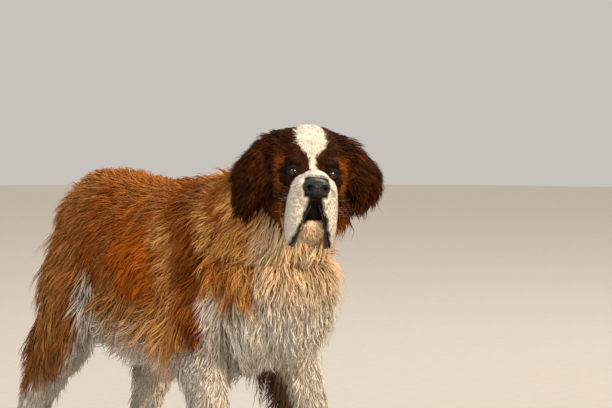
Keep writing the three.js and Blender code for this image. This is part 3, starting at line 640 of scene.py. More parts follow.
def coat_shape(p, n, part):
    """Length, width, lift in radians and lie of the hair at each root."""
    x, _, z = p.T
    nx, ny, nz = n.T
    hx, hy, hz = to_head(p).T
    size = len(p)
    length, width, lift = np.zeros((3, size))
    lie = np.zeros((size, 3))

    def put(where, sizes, way, turn=np.eye(3)):
        for store, value in zip((length, width, lift), sizes):
            store[where] = np.broadcast_to(value, size)[where]
        rows = np.stack([np.broadcast_to(value, size) for value in way], 1)
        lie[where] = (rows @ turn.T)[where]

    # Torso: longest under the belly, flat over the rump, hanging down the chest
    ahead = np.maximum(nx, 0)
    torso = part == TORSO
    under, above, front = step(-0.1, -0.5, nz), step(0.3, 0.8, nz), step(0.2, 0.6, nx)
    fringe = (78 - 56 * step(60, 130, x)) * under
    sizes = (68 + fringe + 8 * front, 4.6 - 0.7 * front, 0.48 + 0.34 * above + 0.45 * under)
    put(torso, sizes, (-1 + 0.95 * ahead, 0, -0.2 - 0.75 * np.abs(ny) - ahead))
    put(torso & (nx < -0.25), (48, 4.9, 0.32), (-0.15, 0, -1))
    put(torso & (x > 120) & (nx > 0.1), (), (0.1 - ahead * 0.3, 0, -1))
    above = step(0.2, 0.7, nz)
    sizes = (74 + 12 * step(0.1, 0.6, nx) + 14 * above, 4.0, 0.56 + 0.22 * above)
    put(part == NECK, sizes, (-0.75, 0, -0.85 - 0.5 * ahead))
    tip = step(480, 360, z)
    put(part == TAIL, (58 + 34 * tip, 4.8, 0.3 + 0.1 * tip), (-0.25, 0, -1))
    # Legs: feathered behind, most of all on the left foreleg
    back = step(-0.1, -0.6, nx)
    left = part == FORE_L
    feather = (38 + 62 * left) * back * step(150, 230, z)
    sizes = (26 + feather + 34 * step(360, 470, z), 3.6 + 1.2 * step(300, 420, z), 0.42 + 0.4 * back * left)
    put((part == FORE_R) | left, sizes, (-0.25, 0, -1))
    thigh = step(280, 400, z)
    sizes = (28 + 24 * back * step(190, 300, z) + 40 * thigh, 3.8 + 1.1 * thigh, 0.38 + 0.2 * back)
    put((part == HIND_R) | (part == HIND_L), sizes, (-0.25, 0, -1))
    put(part == PAWS, (15, 3.4, 0.3), (0.8, 0, -0.55))
    # Head: shortest on the muzzle, longer down the cheeks
    wide, side = np.abs(hy), np.sign(hy)
    sideways = side * step(6, 34, wide)
    cheek = step(20, -30, hx) * step(20, -40, hz)
    crest = step(34, 60, wide) * step(16, -20, hx) * step(-10, 30, hz)
    jowl = step(30, 0, hx) * step(-40, -70, hz) * step(30, 50, wide)
    flank = step(0, 10, hy) * step(75, 45, hx) * step(-35, -60, hz)
    fluff = np.maximum(cheek, crest)
    sizes = (
        11 + 6 * step(20, -50, hx) + 26 * fluff + 16 * jowl + 30 * flank,
        2.4 + 1.8 * np.maximum(fluff, flank),
        0.34 + 0.2 * fluff + 0.3 * crest + 0.4 * flank,
    )
    way = (-0.8 + 0.4 * crest, (0.35 + 0.8 * crest) * sideways, -0.1 - 0.9 * cheek + 0.2 * crest)
    put(part == SKULL, sizes, way, HEAD_TURN)
    put(part == MUZZLE, (7.5, 1.9, 0.3), (-0.7, 0, -0.35), HEAD_TURN)
    put((part == MUZZLE) & (hz > -36), (), (-0.8, 0.5 * sideways, 0), HEAD_TURN)
    put(part == JAW, (20, 2.6, 0.36), (-0.35, 0, -1), HEAD_TURN)
    put(part == LID, (4.6, 1.4, 0.22), (-0.9, -0.4 * side, 0.1), HEAD_TURN)
    outwards = side * (0.35 + 0.5 * step(-20, 50, hz)) - 0.6 * (side > 0) * step(10, -30, hz)
    sizes = (34 + 8 * step(0, -60, hz) + 8 * step(10, 50, hz), 3.9, 0.5)
    put((part == EAR_R) | (part == EAR_L), sizes, (-0.2, outwards, -1), HEAD_TURN)
    return length, width, lift, lie


def bare(p):
    """True where no hair grows: the nose leather, the lips and the eyes' openings."""
    folded = to_head(p)
    folded[:, 1] = np.abs(folded[:, 1])
    x, wide, z = folded.T
    nose = (x > 124) & (wide < 27) & (z > -60) & (z < -17)
    eye = np.linalg.norm((folded - EYE_AT - (6, 1, 0)) / (1, 1, 0.8), axis=1) < EYE_RADIUS
    lips = np.zeros(len(p), bool)
    for point in spline(LIP_POINTS, np.linspace(0, len(LIP_POINTS) - 1, 60)):
        lips |= np.linalg.norm(folded - point, axis=1) < 6.0
    return nose | eye | lips


# Shares of a tuft's length at which its rings stand
STEPS = np.array((0.0, 0.36, 0.72, 1.0))
SHORT_STEPS = np.array((0.0, 0.5, 1.0))


def scatter(field, chosen, count, rng):
    """Roots spread evenly over the chosen faces: place, normal, map place and part."""
    points, normals, triangles, uv, part = field
    corner = points[triangles]
    area = np.linalg.norm(np.cross(corner[:, 1] - corner[:, 0], corner[:, 2] - corner[:, 0]), axis=1)
    weight = np.cumsum(area * chosen)
    pick = (np.arange(count) + rng.random(count)) / count * weight[-1]
    face = np.minimum(np.searchsorted(weight, pick), len(triangles) - 1)
    a, b = rng.random((2, count))
    over = a + b > 1
    a[over], b[over] = 1 - a[over], 1 - b[over]
    share = np.stack([1 - a - b, a, b], 1)[:, :, None]
    root = (corner[face] * share).sum(1)
    normal = unit((normals[triangles[face]] * share).sum(1))
    place = (uv[face] * share).sum(1)
    keep = ~bare(root) | (part[face] == LID)
    return root[keep], normal[keep], place[keep], part[face][keep]


def tuft_cells(steps):
    """Triangles of one tuft, and where their corners lie across and along it."""
    rows = len(steps) - 1
    tris, local = [(2, 1, 0)], [((0.66, -0.08), (0.33, -0.12), (0, -0.08))]
    for i in range(rows - 1):
        for j in range(3):
            k = (j + 1) % 3
            q = [(3 * i + j, (j / 3, steps[i])), (3 * i + k, ((j + 1) / 3, steps[i]))]
            q += [(3 * i + 3 + k, ((j + 1) / 3, steps[i + 1])), (3 * i + 3 + j, (j / 3, steps[i + 1]))]
            for order in ((0, 1, 2), (0, 2, 3)):
                tris.append(tuple(q[o][0] for o in order))
                local.append(tuple(q[o][1] for o in order))
    end = 3 * rows
    for j in range(3):
        tris.append((end - 3 + j, end - 3 + (j + 1) % 3, end))
        local.append(((j / 3, steps[-2]), ((j + 1) / 3, steps[-2]), ((j + 0.5) / 3, 1.0)))
    return np.array(tris), np.array(local)


def press_back(tuft):
    """Tufts reach little past the solids' box, and not below the floor."""
    # Past these bounds only three tenths of a reach are left
    low, high = in_mm(CAD_BOX)
    low, high = low - (8, 2, 0), high + (2, 2, 0)
    tuft = np.where(tuft < low, low - (low - tuft) * 0.3, np.where(tuft > high, high + (tuft - high) * 0.3, tuft))
    tuft[:, :, 2] = np.maximum(tuft[:, :, 2], 0.6)
    return tuft


def grow_coat(name, field, chosen, count, steps, seed, slot, uneven=UNEVEN):
    """One piece of the coat: flat tapered tufts on the chosen faces of the skin."""
    rng = np.random.default_rng(seed)
    root, normal, place, label = scatter(field, chosen, count, rng)
    count = len(root)
    length, width, lift, lie = coat_shape(root, normal, label)
    colour = markings(root, normal, label)

    # Neighbours turn together, and each clump's tips gather
    along = unit(lie - normal * (lie * normal).sum(1, keepdims=True))
    across = np.cross(normal, along)
    turn = 0.42 * ripple(root, 120, 51) + 0.28 * ripple(root, 42, 52) + rng.normal(0, 0.09, count)
    along = along * np.cos(turn)[:, None] + across * np.sin(turn)[:, None]
    across = np.cross(normal, along)
    heads = rng.permutation(count)[: max(count // CLUMP, 1)]
    owner = nearest(tree_of(root[heads]), root)
    gather = root[heads][owner] - root
    gather -= normal * (gather * normal).sum(1, keepdims=True)
    reach = np.linalg.norm(gather, axis=1, keepdims=True)
    gather *= np.minimum(1, 0.3 * length[:, None] / np.maximum(reach, 1e-6))
    shade = rng.normal(1, uneven, len(heads))[owner] * rng.normal(1, 0.7 * uneven, count)
    colour = np.clip(colour * np.clip(shade, 0.5, 1.5)[:, None], 0, 1)

    length = length * rng.uniform(0.72, 1.15, count) * rng.normal(1, 0.1, len(heads))[owner]
    thin = rng.random(count) < 0.3
    width = width * np.where(thin, 0.45, 1.0) * rng.uniform(0.75, 1.2, count)
    lift = lift * rng.uniform(0.55, 1.35, count)
    phase = rng.uniform(0, 6.28, len(heads))[owner] + rng.normal(0, 0.4, count)
    sink = np.minimum(4.0, 0.15 * length)

    def middle(s):
        """The middle of each tuft at one share of its length: it rises, hangs and waves."""
        ahead = length * s * np.cos(lift)
        rise = length * np.sin(lift) * (s - 0.5 * s * s) - sink * (1 - s)
        wave = length * 0.1 * s * np.sin(phase + 5.0 * s)
        hang = length[:, None] * 0.12 * s * s * (0, 0, -1)
        line = root + along * ahead[:, None] + normal * rise[:, None] + across * wave[:, None]
        return line + hang + gather * 0.6 * s**1.3

    rings = []
    profile = np.interp(steps, (0, 0.3, 0.6, 0.85, 1), (0.7, 1, 0.8, 0.42, 0))
    for s, fat in zip(steps[:-1], profile[:-1]):
        line, half = middle(s), (width * fat * 0.5)[:, None]
        rings += [line + across * half, line + normal * half * 0.55, line - across * half]
    tuft = press_back(np.stack([*rings, middle(1.0)], 1))
    tris, local = tuft_cells(steps)
    each = tuft.shape[1]
    index = (tris[None] + (np.arange(count) * each)[:, None, None]).reshape(-1, 3)
    piece = triangle_object(name, tuft.reshape(-1, 3), index)
    add_uv(piece.data, "OFBake", place[:, None, None, :] + (local[None] - 0.5) * TUFT_PATCH)
    add_uv(piece.data, "Strand", local[None] + (rng.random((count, 1, 1, 2)) * (40, 0) // 1))
    add_colours(piece.data, "Coat", np.repeat(colour, each, axis=0))
    piece.data.uv_layers.active = piece.data.uv_layers["OFBake"]
    finish_piece(piece, hair_material(), slot)


# Shader groups and materials


def new_group(name, kind, inputs, outputs):
    """A node group with named inputs and outputs, and the nodes at its two ends."""
    group = bpy.data.node_groups.new(name, kind)
    for label, socket_kind, value in inputs:
        socket = group.interface.new_socket(name=label, in_out="INPUT", socket_type=socket_kind)
        if value is not None:
            socket.default_value = value
    for label, socket_kind in outputs:
        group.interface.new_socket(name=label, in_out="OUTPUT", socket_type=socket_kind)
    return group, group.nodes.new("NodeGroupInput"), group.nodes.new("NodeGroupOutput")


def feed(tree, node, inputs):
    """Each input named takes a value, or a link from a socket."""
    for key, value in inputs.items():
        if isinstance(value, bpy.types.NodeSocket):
            tree.links.new(value, node.inputs[key])
        else:
            node.inputs[key].default_value = value
    return node


def add_node(tree, kind, inputs, **settings):
    node = tree.nodes.new(kind)
    for label, value in settings.items():
        setattr(node, label, value)
    return feed(tree, node, inputs)


def maths(tree, operation, a, b):
    return add_node(tree, "ShaderNodeMath", {0: a, 1: b}, operation=operation).outputs[0]


def blend_colour(tree, share, a, b, kind="MIX"):
    return add_node(tree, "ShaderNodeMix", {0: share, 6: a, 7: b}, data_type="RGBA", blend_type=kind).outputs[2]


def strand_group():
    """Fine hairs: streaks along a vector's second axis, with painted shade darkening them towards the root."""
    if "Hair strands" in bpy.data.node_groups:
        return bpy.data.node_groups["Hair strands"]
    group, start, end = new_group(
        "Hair strands", "ShaderNodeTree",
        [
            ("Colour", "NodeSocketColor", (0.5, 0.3, 0.1, 1)),
            ("Vector", "NodeSocketVector", None),
            ("Root Shade", "NodeSocketFloat", 0.5),
            ("Along", "NodeSocketFloat", 0.5),
            ("Fineness", "NodeSocketFloat", 9.0),
        ],
        [("Colour", "NodeSocketColor"), ("Roughness", "NodeSocketFloat"), ("Height", "NodeSocketFloat")],
    )
    given = start.outputs
    value = noise_value(group, given["Vector"], given["Fineness"])
    rise = maths(group, "POWER", given["Along"], 0.6)
    shade = maths(group, "MULTIPLY", maths(group, "SUBTRACT", 1.0, rise), given["Root Shade"])
    streak = maths(group, "ADD", 0.55, maths(group, "MULTIPLY", value, 0.9))
    light = maths(group, "MULTIPLY", maths(group, "SUBTRACT", 1.0, shade), streak)
    bright = add_node(group, "ShaderNodeCombineColor", {0: light, 1: light, 2: light})
    feed(group, end, {
        "Colour": blend_colour(group, 1.0, given["Colour"], bright.outputs[0], "MULTIPLY"),
        "Roughness": maths(group, "ADD", 0.5, maths(group, "MULTIPLY", value, 0.3)),
        "Height": value,
    })
    return group


def new_material(name, **values):
    """A material, its node tree and its shader, with the given values set on the shader."""
    material = bpy.data.materials.new(name)
    material.use_nodes = True
    tree = material.node_tree
    shader = feed(tree, tree.nodes["Principled BSDF"], {label.replace("_", " "): values[label] for label in values})
    return material, tree, shader


def add_bump(tree, shader, height, strength, distance):
    bump = add_node(tree, "ShaderNodeBump", {"Strength": strength, "Distance": distance, "Height": height})
    feed(tree, shader, {"Normal": bump.outputs["Normal"]})


def coordinates(tree, scale):
    place = add_node(tree, "ShaderNodeTexCoord", {}).outputs["Object"]
    return add_node(tree, "ShaderNodeMapping", {"Vector": place, "Scale": scale}).outputs["Vector"]


def noise_value(tree, vector, scale):
    return add_node(tree, "ShaderNodeTexNoise", {"Vector": vector, "Scale": scale, "Detail": 3}).outputs["Fac"]


def ramp(tree, value, stops):
    node = add_node(tree, "ShaderNodeValToRGB", {"Fac": value})
    marks = node.color_ramp.elements
    while len(marks) < len(stops):
        marks.new(0.5)
    for mark, (at, colour) in zip(marks, stops):
        mark.position = at
        mark.color = (*colour, 1)
    return node.outputs["Color"]


def draw_strands(tree, shader, vector, along, root_shade, fineness, bump, distance):
    """The markings with fine hairs drawn over them, and painted shade towards the hairs' roots."""
    marks = add_node(tree, "ShaderNodeAttribute", {}, attribute_name="Coat").outputs["Color"]
    values = {"Colour": marks, "Vector": vector, "Along": along, "Root Shade": root_shade, "Fineness": fineness}
    hairs = add_node(tree, "ShaderNodeGroup", values, node_tree=strand_group()).outputs
    feed(tree, shader, {"Base Color": hairs["Colour"], "Roughness": hairs["Roughness"]})
    add_bump(tree, shader, hairs["Height"], bump, distance)


def hair_material():
    if "hair" in bpy.data.materials:
        return bpy.data.materials["hair"]
    material, tree, shader = new_material("hair", Specular_IOR_Level=0.07)
    strand = add_node(tree, "ShaderNodeUVMap", {}, uv_map="Strand").outputs["UV"]
    split = add_node(tree, "ShaderNodeSeparateXYZ", {0: strand})
    stretch = add_node(tree, "ShaderNodeMapping", {"Vector": strand, "Scale": (2.2, 0.22, 1)})
    # Painted shade darkens each tuft towards its root
    draw_strands(tree, shader, stretch.outputs["Vector"], split.outputs["Y"], 0.38, 5.0, 0.5, 0.0008)
    return material


def skin_material():
    material, tree, shader = new_material("under_coat", Specular_IOR_Level=0.07)
    # The skin between the tufts takes a little painted shade, as the tufts do halfway along
    draw_strands(tree, shader, coordinates(tree, (1, 1, 0.35)), 0.5, 0.3, 400.0, 0.6, 0.0015)
    return material


def leather_material(name, colour, scale, rough, depth, wet=0.15):
    """Moist bare skin: the nose's pebbles, or the fine wrinkles of lips and lids."""
    material, tree, shader = new_material(name, Specular_IOR_Level=0.35, Coat_Weight=wet, Coat_Roughness=0.12)
    place = coordinates(tree, (1, 1, 1))
    cells = add_node(tree, "ShaderNodeTexVoronoi", {"Vector": place, "Scale": scale})
    patch = noise_value(tree, place, 60)
    stops = [(at, tuple(c * share for c in colour)) for at, share in ((0.35, 0.6), (0.7, 1.7))]
    rough = maths(tree, "ADD", rough, maths(tree, "MULTIPLY", patch, 0.3))
    feed(tree, shader, {"Base Color": ramp(tree, patch, stops), "Roughness": rough})
    add_bump(tree, shader, maths(tree, "SUBTRACT", 1.0, cells.outputs["Distance"]), 0.7, depth)
    return material


def eye_material():
    """The attribute holds how far a point is from the middle of the pupil, and the third lid."""
    material, tree, shader = new_material("eye_gloss", Roughness=0.12, Coat_Weight=1.0, Coat_Roughness=0.03)
    mark = add_node(tree, "ShaderNodeAttribute", {}, attribute_name="Iris")
    split = add_node(tree, "ShaderNodeSeparateColor", {0: mark.outputs["Color"]})
    rays = noise_value(tree, coordinates(tree, (1, 1, 1)), 900)
    shaken = maths(tree, "ADD", split.outputs[0], maths(tree, "MULTIPLY", maths(tree, "SUBTRACT", rays, 0.5), 0.04))
    stops = (
        (0.0, (0.002, 0.002, 0.002)), (0.15, (0.003, 0.002, 0.002)), (0.2, (0.03, 0.010, 0.004)),
        (0.36, (0.022, 0.008, 0.004)), (0.43, (0.006, 0.003, 0.003)), (0.5, (0.16, 0.09, 0.06)),
    )
    base = blend_colour(tree, split.outputs[1], ramp(tree, shaken, stops), (0.30, 0.035, 0.022, 1))
    feed(tree, shader, {"Base Color": base})
    return material


def claw_material():
    material, tree, shader = new_material("claw_horn", Specular_IOR_Level=0.5)
    streaks = noise_value(tree, coordinates(tree, (0.3, 1, 1)), 700)
    base = ramp(tree, streaks, ((0.3, (0.03, 0.021, 0.016)), (0.75, (0.13, 0.095, 0.07))))
    rough = maths(tree, "ADD", 0.28, maths(tree, "MULTIPLY", streaks, 0.3))
    feed(tree, shader, {"Base Color": base, "Roughness": rough})
    add_bump(tree, shader, streaks, 0.4, 0.0004)
    return material


def floor_material():
    material, tree, shader = new_material("studio_floor", Roughness=0.85, Specular_IOR_Level=0.1)
    grain = noise_value(tree, coordinates(tree, (1, 1, 1)), 30)
    feed(tree, shader, {"Base Color": ramp(tree, grain, ((0.2, (0.44, 0.43, 0.42)), (0.8, (0.47, 0.46, 0.45))))})
    return material


def whisker_material():
    material, tree, shader = new_material("whisker_hair", Roughness=0.4)
    pale = noise_value(tree, coordinates(tree, (1, 1, 1)), 80)
    feed(tree, shader, {"Base Color": ramp(tree, pale, ((0.4, (0.06, 0.03, 0.015)), (0.6, (0.6, 0.5, 0.38))))})
    return material


# Pieces of the face and feet


def eye_axes(side):
    gaze = HEAD_TURN @ unit((1.0, 0.30 * side, -0.04))
    left = unit(np.cross((0, 0, 1), gaze))
    return gaze, left, np.cross(gaze, left)


def make_eye(name, side):
    """An eyeball with a raised cornea and the third lid's edge at its inner, lower side."""
    gaze, left, up = eye_axes(side)
    rows, radial = 40, 48
    polar = np.linspace(0.02, math.pi - 0.02, rows)
    angle = np.linspace(0, 2 * math.pi, radial, endpoint=False)
    p, a = np.meshgrid(polar, angle, indexing="ij")
    low = -np.sin(p) * np.sin(a) + 0.35 * np.sin(p) * np.cos(a) * side * -1
    haw = step(0.42, 0.5, low) * (p < 1.5)
    radius = EYE_RADIUS - 1.0 + 0.9 * np.exp(-((p / 0.5) ** 4)) + 0.6 * haw
    flat = np.cos(a)[..., None] * left + np.sin(a)[..., None] * up
    away = np.cos(p)[..., None] * gaze + np.sin(p)[..., None] * flat
    centre = from_head(EYE_AT * (1, side, 1))
    points = (centre + away * radius[..., None]).reshape(-1, 3)
    points = np.vstack([points, centre + gaze * radius[0, 0], centre - gaze * radius[-1, 0]])
    piece = mesh_object(name, points, closed_faces(rows, radial))
    marks = np.stack([p.ravel() / (math.pi / 2), haw.ravel()], 1)
    add_colours(piece.data, "Iris", np.vstack([marks, [[0, 0]], [[1, 0]]]))
    return piece


def make_lids(name, side):
    """Both lids as one ring of skin round the eye, heavy above and slack below."""
    gaze, left, up = eye_axes(side)
    radial = 64
    angle = np.linspace(0, 2 * math.pi, radial, endpoint=False)
    c, s = np.cos(angle), np.sin(angle)
    high = np.where(s > 0, 0.36, 0.50 + 0.10 * np.exp(-(((angle - 4.5) / 0.5) ** 2)))
    edge = 1 / np.sqrt((c / 0.86) ** 2 + (s / high) ** 2)
    rings = []
    # Angle past the opening's edge and distance from the eye's middle, from inside round to inside
    profile = [
        (0.0, 12.2), (0.02, 13.2), (-0.035, 14.3), (0.03, 15.1), (0.14, 15.3), (0.3, 15.6), (0.5, 15.2),
        (0.75, 13.8), (0.95, 12.2), (0.8, 11.6), (0.4, 11.9),
    ]
    for past, radius in profile:
        polar = np.minimum(edge + past, 1.75)
        flat = c[:, None] * left + s[:, None] * up
        away = np.cos(polar)[:, None] * gaze + np.sin(polar)[:, None] * flat
        crease = 0.7 * np.sin(past * 26) * (0.1 < past < 0.6)
        rings.append(from_head(EYE_AT * (1, side, 1)) + away * (radius + crease))
    points = np.vstack(rings)
    count = len(rings)
    faces = grid_faces(count, radial, wrap=True)
    piece = mesh_object(name, points, [t for a, b, c, d in faces for t in ((a, b, c), (a, c, d))])
    corners = triangle_corners(piece.data)
    ring = corners // radial
    place = np.stack([corners % radial / radial, ring / count], 2)
    place += place.max(1, keepdims=True) - place > 0.5
    add_uv(piece.data, "OFBake", place * 0.9)
    # Hair grows on the outer side only, clear of the opening's edge
    return piece, ((ring >= 3) & (ring <= 7)).all(1)


def outward(piece):
    """Faces turned outwards on a closed piece."""
    mesh = piece.data
    mesh.calc_loop_triangles()
    corners = read(mesh.loop_triangles, "vertices", 3, np.int32)
    a, b, c = read(mesh.vertices, "co", 3).astype(float)[corners].transpose(1, 0, 2)
    if (a * np.cross(b, c)).sum() < 0:
        mesh.flip_normals()
    return piece


def make_nose():
    points, faces = loft(NOSE_STATIONS, (0, 0, 1), square=2.05, dome=0.5, radial=96, rows=56)
    x, y, z = points.T
    ahead = step(132, 146, x)
    for _, side in SIDES:
        away = np.hypot((y - side * (13 + 0.12 * (z + 41))) / 6.4, (z + 40) / 5.4)
        points[:, 0] -= 11 * np.exp(-(away**3)) * ahead
        slit = np.hypot((y - side * 21) / 7, (z + 47) / 2.4)
        points[:, 0] -= 5 * np.exp(-(slit**2)) * ahead
        points[:, 0] += 1.6 * np.exp(-(((away - 1.7) / 0.5) ** 2)) * ahead * (z > -54)
    points[:, 0] -= 2.2 * np.exp(-((y / 1.6) ** 2)) * ahead * step(-31, -39, z)
    return mesh_object("nose_leather", from_head(points), faces)


def make_lip(name, side):
    path = np.array(LIP_POINTS, float) * (1, side, 1)
    fat = np.array((2.0, 2.6, 3.8, 6.6, 6.8, 4.0))[:, None]
    stations = np.hstack([path, fat * (0.9, 1.0, 1.0)])
    points, faces = loft(stations, (0, 1, 0.2), dome=0.8, radial=28, rows=110)
    folds = ripple(points, 12, 61 + side) * 1.6 + ripple(points, 5, 62) * 0.5
    points[:, 2] += folds + 2.5
    points[:, 1] += folds * 0.5
    return mesh_object(name, from_head(points), faces)


def make_claw(node):
    low, high = in_mm(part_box(node))
    middle = (low[1] + high[1]) / 2
    drop = high[2] - low[2]
    rows = [(0.0, 0.62, 5.2), (0.3, 0.66, 5.0), (0.6, 0.52, 3.9), (0.85, 0.3, 2.3), (0.97, 0.14, 1.0)]
    stations = []
    for share, height, half in rows:
        stations.append([low[0] + share * (high[0] - low[0]), middle, low[2] + height * drop, half * 0.8, half, half])
    points, faces = loft(stations, (0, 0, 1), dome=0.5, radial=16, rows=14)
    points[:, 2] = np.maximum(points[:, 2], 0.5)
    return mesh_object("dressed_" + node, points, faces)


def whisker_tree(material):
    """Bent tapering hairs on a patch of skin."""
    tree, start, end = new_group(
        "Whiskers", "GeometryNodeTree",
        [
            ("Geometry", "NodeSocketGeometry", None),
            ("Density", "NodeSocketFloat", 5000.0),
            ("Length", "NodeSocketFloat", 0.045),
            ("Thickness", "NodeSocketFloat", 0.00022),
            ("Seed", "NodeSocketInt", 5),
        ],
        [("Geometry", "NodeSocketGeometry")],
    )
    given = start.outputs
    values = {"Mesh": given["Geometry"], "Density": given["Density"], "Seed": given["Seed"]}
    spots = add_node(tree, "GeometryNodeDistributePointsOnFaces", values).outputs
    values = {"Resolution": 7, "Start": (0, 0, -0.04), "Middle": (0.05, 0, 0.5), "End": (0.4, 0, 0.95)}
    bend = add_node(tree, "GeometryNodeCurveQuadraticBezier", values).outputs[0]
    thin = maths(tree, "SUBTRACT", 1.05, add_node(tree, "GeometryNodeSplineParameter", {}).outputs["Factor"])
    values = {"Resolution": 4, "Radius": maths(tree, "DIVIDE", given["Thickness"], given["Length"])}
    ring = add_node(tree, "GeometryNodeCurvePrimitiveCircle", values).outputs[0]
    values = {"Curve": bend, "Profile Curve": ring, "Fill Caps": True, "Scale": thin}
    tube = add_node(tree, "GeometryNodeCurveToMesh", values).outputs[0]
    spread = add_node(tree, "FunctionNodeRandomValue", {2: 0.5, 3: 1.1}, data_type="FLOAT").outputs[1]
    values = {"Points": spots["Points"], "Instance": tube, "Rotation": spots["Rotation"]}
    values["Scale"] = maths(tree, "MULTIPLY", spread, given["Length"])
    place = add_node(tree, "GeometryNodeInstanceOnPoints", values).outputs[0]
    real = add_node(tree, "GeometryNodeRealizeInstances", {0: place}).outputs[0]
    paint = add_node(tree, "GeometryNodeSetMaterial", {"Geometry": real, "Material": material}).outputs[0]
    feed(tree, end, {"Geometry": paint})
    return tree


# Settings and operators


class CoatSettings(bpy.types.PropertyGroup):
    skin_depth: FloatProperty(
        name="Skin depth", description="How far the skin lies inside the flesh", default=0.008, unit="LENGTH"
    )
    density: FloatProperty(
        name="Density", description="Share of the full number of tufts", default=1.0, min=0.05, max=1.0
    )
    seed: IntProperty(name="Seed", description="Start of the coat's random values", default=11)


class FaceSettings(bpy.types.PropertyGroup):
    nose: FloatVectorProperty(
        name="Nose", description="Colour of the nose leather", default=(0.011, 0.008, 0.007), subtype="COLOR"
    )
    lips: FloatVectorProperty(
        name="Lips", description="Colour of the lips and lids", default=(0.006, 0.004, 0.004), subtype="COLOR"
    )
    whisker_length: FloatProperty(
        name="Whiskers", description="Length of a long whisker", default=0.036, unit="LENGTH"
    )


class StageSettings(bpy.types.PropertyGroup):
    sun: FloatProperty(name="Main light", description="Strength of the warm, low main light", default=3.9)
    fill: FloatProperty(name="Fill light", description="Power of the soft fill light", default=110.0, unit="POWER")


FLESH = [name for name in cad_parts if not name.startswith(("nose", "lip_", "eye_", "claw_"))]


class MakeSkin(bpy.types.Operator):
    """Makes one seamless skin under the whole coat, with its folds and markings"""

    bl_idname = "saint_bernard.skin"
    bl_label = "Skin"

    def execute(self, context):
        forms = flesh_forms(context.scene.dog_coat.skin_depth * 1000)
        points, faces = join_forms([form[1:] for form in forms])
        tree = tree_of(points)
        labels = np.repeat([form[0] for form in forms], [len(form[1]) for form in forms])
        skin = outward(mesh_object("skin", points, faces))
        remesh = skin.modifiers.new("Join", "REMESH")
        remesh.mode, remesh.voxel_size = "VOXEL", VOXEL
        smooth = skin.modifiers.new("Smooth", "SMOOTH")
        smooth.factor, smooth.iterations = 0.5, 5
        settle(skin)
        # Thinned everywhere, and least on the head
        near = labels[nearest(tree, corner_points(skin.data))]
        head = skin.vertex_groups.new(name="Head")
        head.add(np.flatnonzero((near >= SKULL) & (near <= EAR_L)).tolist(), 1.0, "REPLACE")
        thin = skin.modifiers.new("Thin", "DECIMATE")
        thin.ratio = min(1.0, SKIN_TRIANGLES / (2 * len(skin.data.polygons)))
        thin.vertex_group, thin.vertex_group_factor, thin.invert_vertex_group = "Head", 4.0, True
        thin.use_collapse_triangulate = True
        settle(skin)
        skin.vertex_groups.clear()
        mesh = skin.data
        points = sculpt_face(corner_points(mesh))
        points[:, 2] = np.maximum(points[:, 2], 0.4)
        mesh.vertices.foreach_set("co", ((points + OFFSET) / 1000).astype(np.float32).ravel())
        mesh.update()
        triangles = triangle_corners(mesh)
        near = labels[nearest(tree, points)]
        part = near[triangles[:, 0]].astype(np.int32)
        mesh.attributes.new("part", "INT", "FACE").data.foreach_set("value", part)
        add_uv(mesh, "OFBake", chart_uv(points, triangles, part))
        add_colours(mesh, "Coat", markings(points, corner_normals(mesh), near))
        mesh.polygons.foreach_set("use_smooth", [True] * len(mesh.polygons))
        finish_piece(skin, skin_material(), "coat_red", *FLESH)
        return {"FINISHED"}


class GrowCoat(bpy.types.Operator):
    """Grows the hair in overlapping tufts from the skin, the smallest on the face and feet"""

    bl_idname = "saint_bernard.coat"
    bl_label = "Coat"

    def execute(self, context):
        settings = context.scene.dog_coat
        field = skin_arrays()
        points, normals, triangles, _, part = field
        centre = points[triangles].mean(1)
        normal = unit(normals[triangles].mean(1))
        flank = (part == TORSO) & (normal[:, 2] <= 0.5)
        head = (part == MUZZLE) | (part == JAW)
        ear = (part == EAR_R) | (part == EAR_L)
        fore = (part == FORE_R) | (part == FORE_L)
        hind = (part == HIND_R) | (part == HIND_L)
        front = 1 + 0.6 * (to_head(centre)[:, 0] > 0)
        pieces = (
            ("coat_back", (part == TORSO) & ~flank, 8500, STEPS, "coat_red"),
            ("coat_side_right", flank & (centre[:, 1] < 0), 12200, STEPS, "coat_red"),
            ("coat_side_left", flank & (centre[:, 1] >= 0), 11500, STEPS, "coat_red"),
            ("coat_neck", part == NECK, 12200, STEPS, "coat_white"),
            ("coat_tail", part == TAIL, 4200, STEPS, "coat_red"),
            ("coat_forelegs", fore, 12000, STEPS, "coat_white"),
            ("coat_hind_legs", hind, 12200, STEPS, "coat_red"),
            ("coat_paws", part == PAWS, 6000, SHORT_STEPS, "coat_white"),
            ("coat_muzzle", head, 12000, SHORT_STEPS, "coat_white"),
            ("coat_skull", (part == SKULL) * front, 12000, STEPS, "coat_dark"),
            ("coat_ears", ear, 8200, STEPS, "coat_dark"),
        )
        for i, (name, chosen, count, steps, slot) in enumerate(pieces):
            count = int(count * settings.density)
            uneven = UNEVEN if steps is STEPS else SHORT_UNEVEN
            grow_coat(name, field, chosen, count, steps, settings.seed + i, slot, uneven)
        return {"FINISHED"}


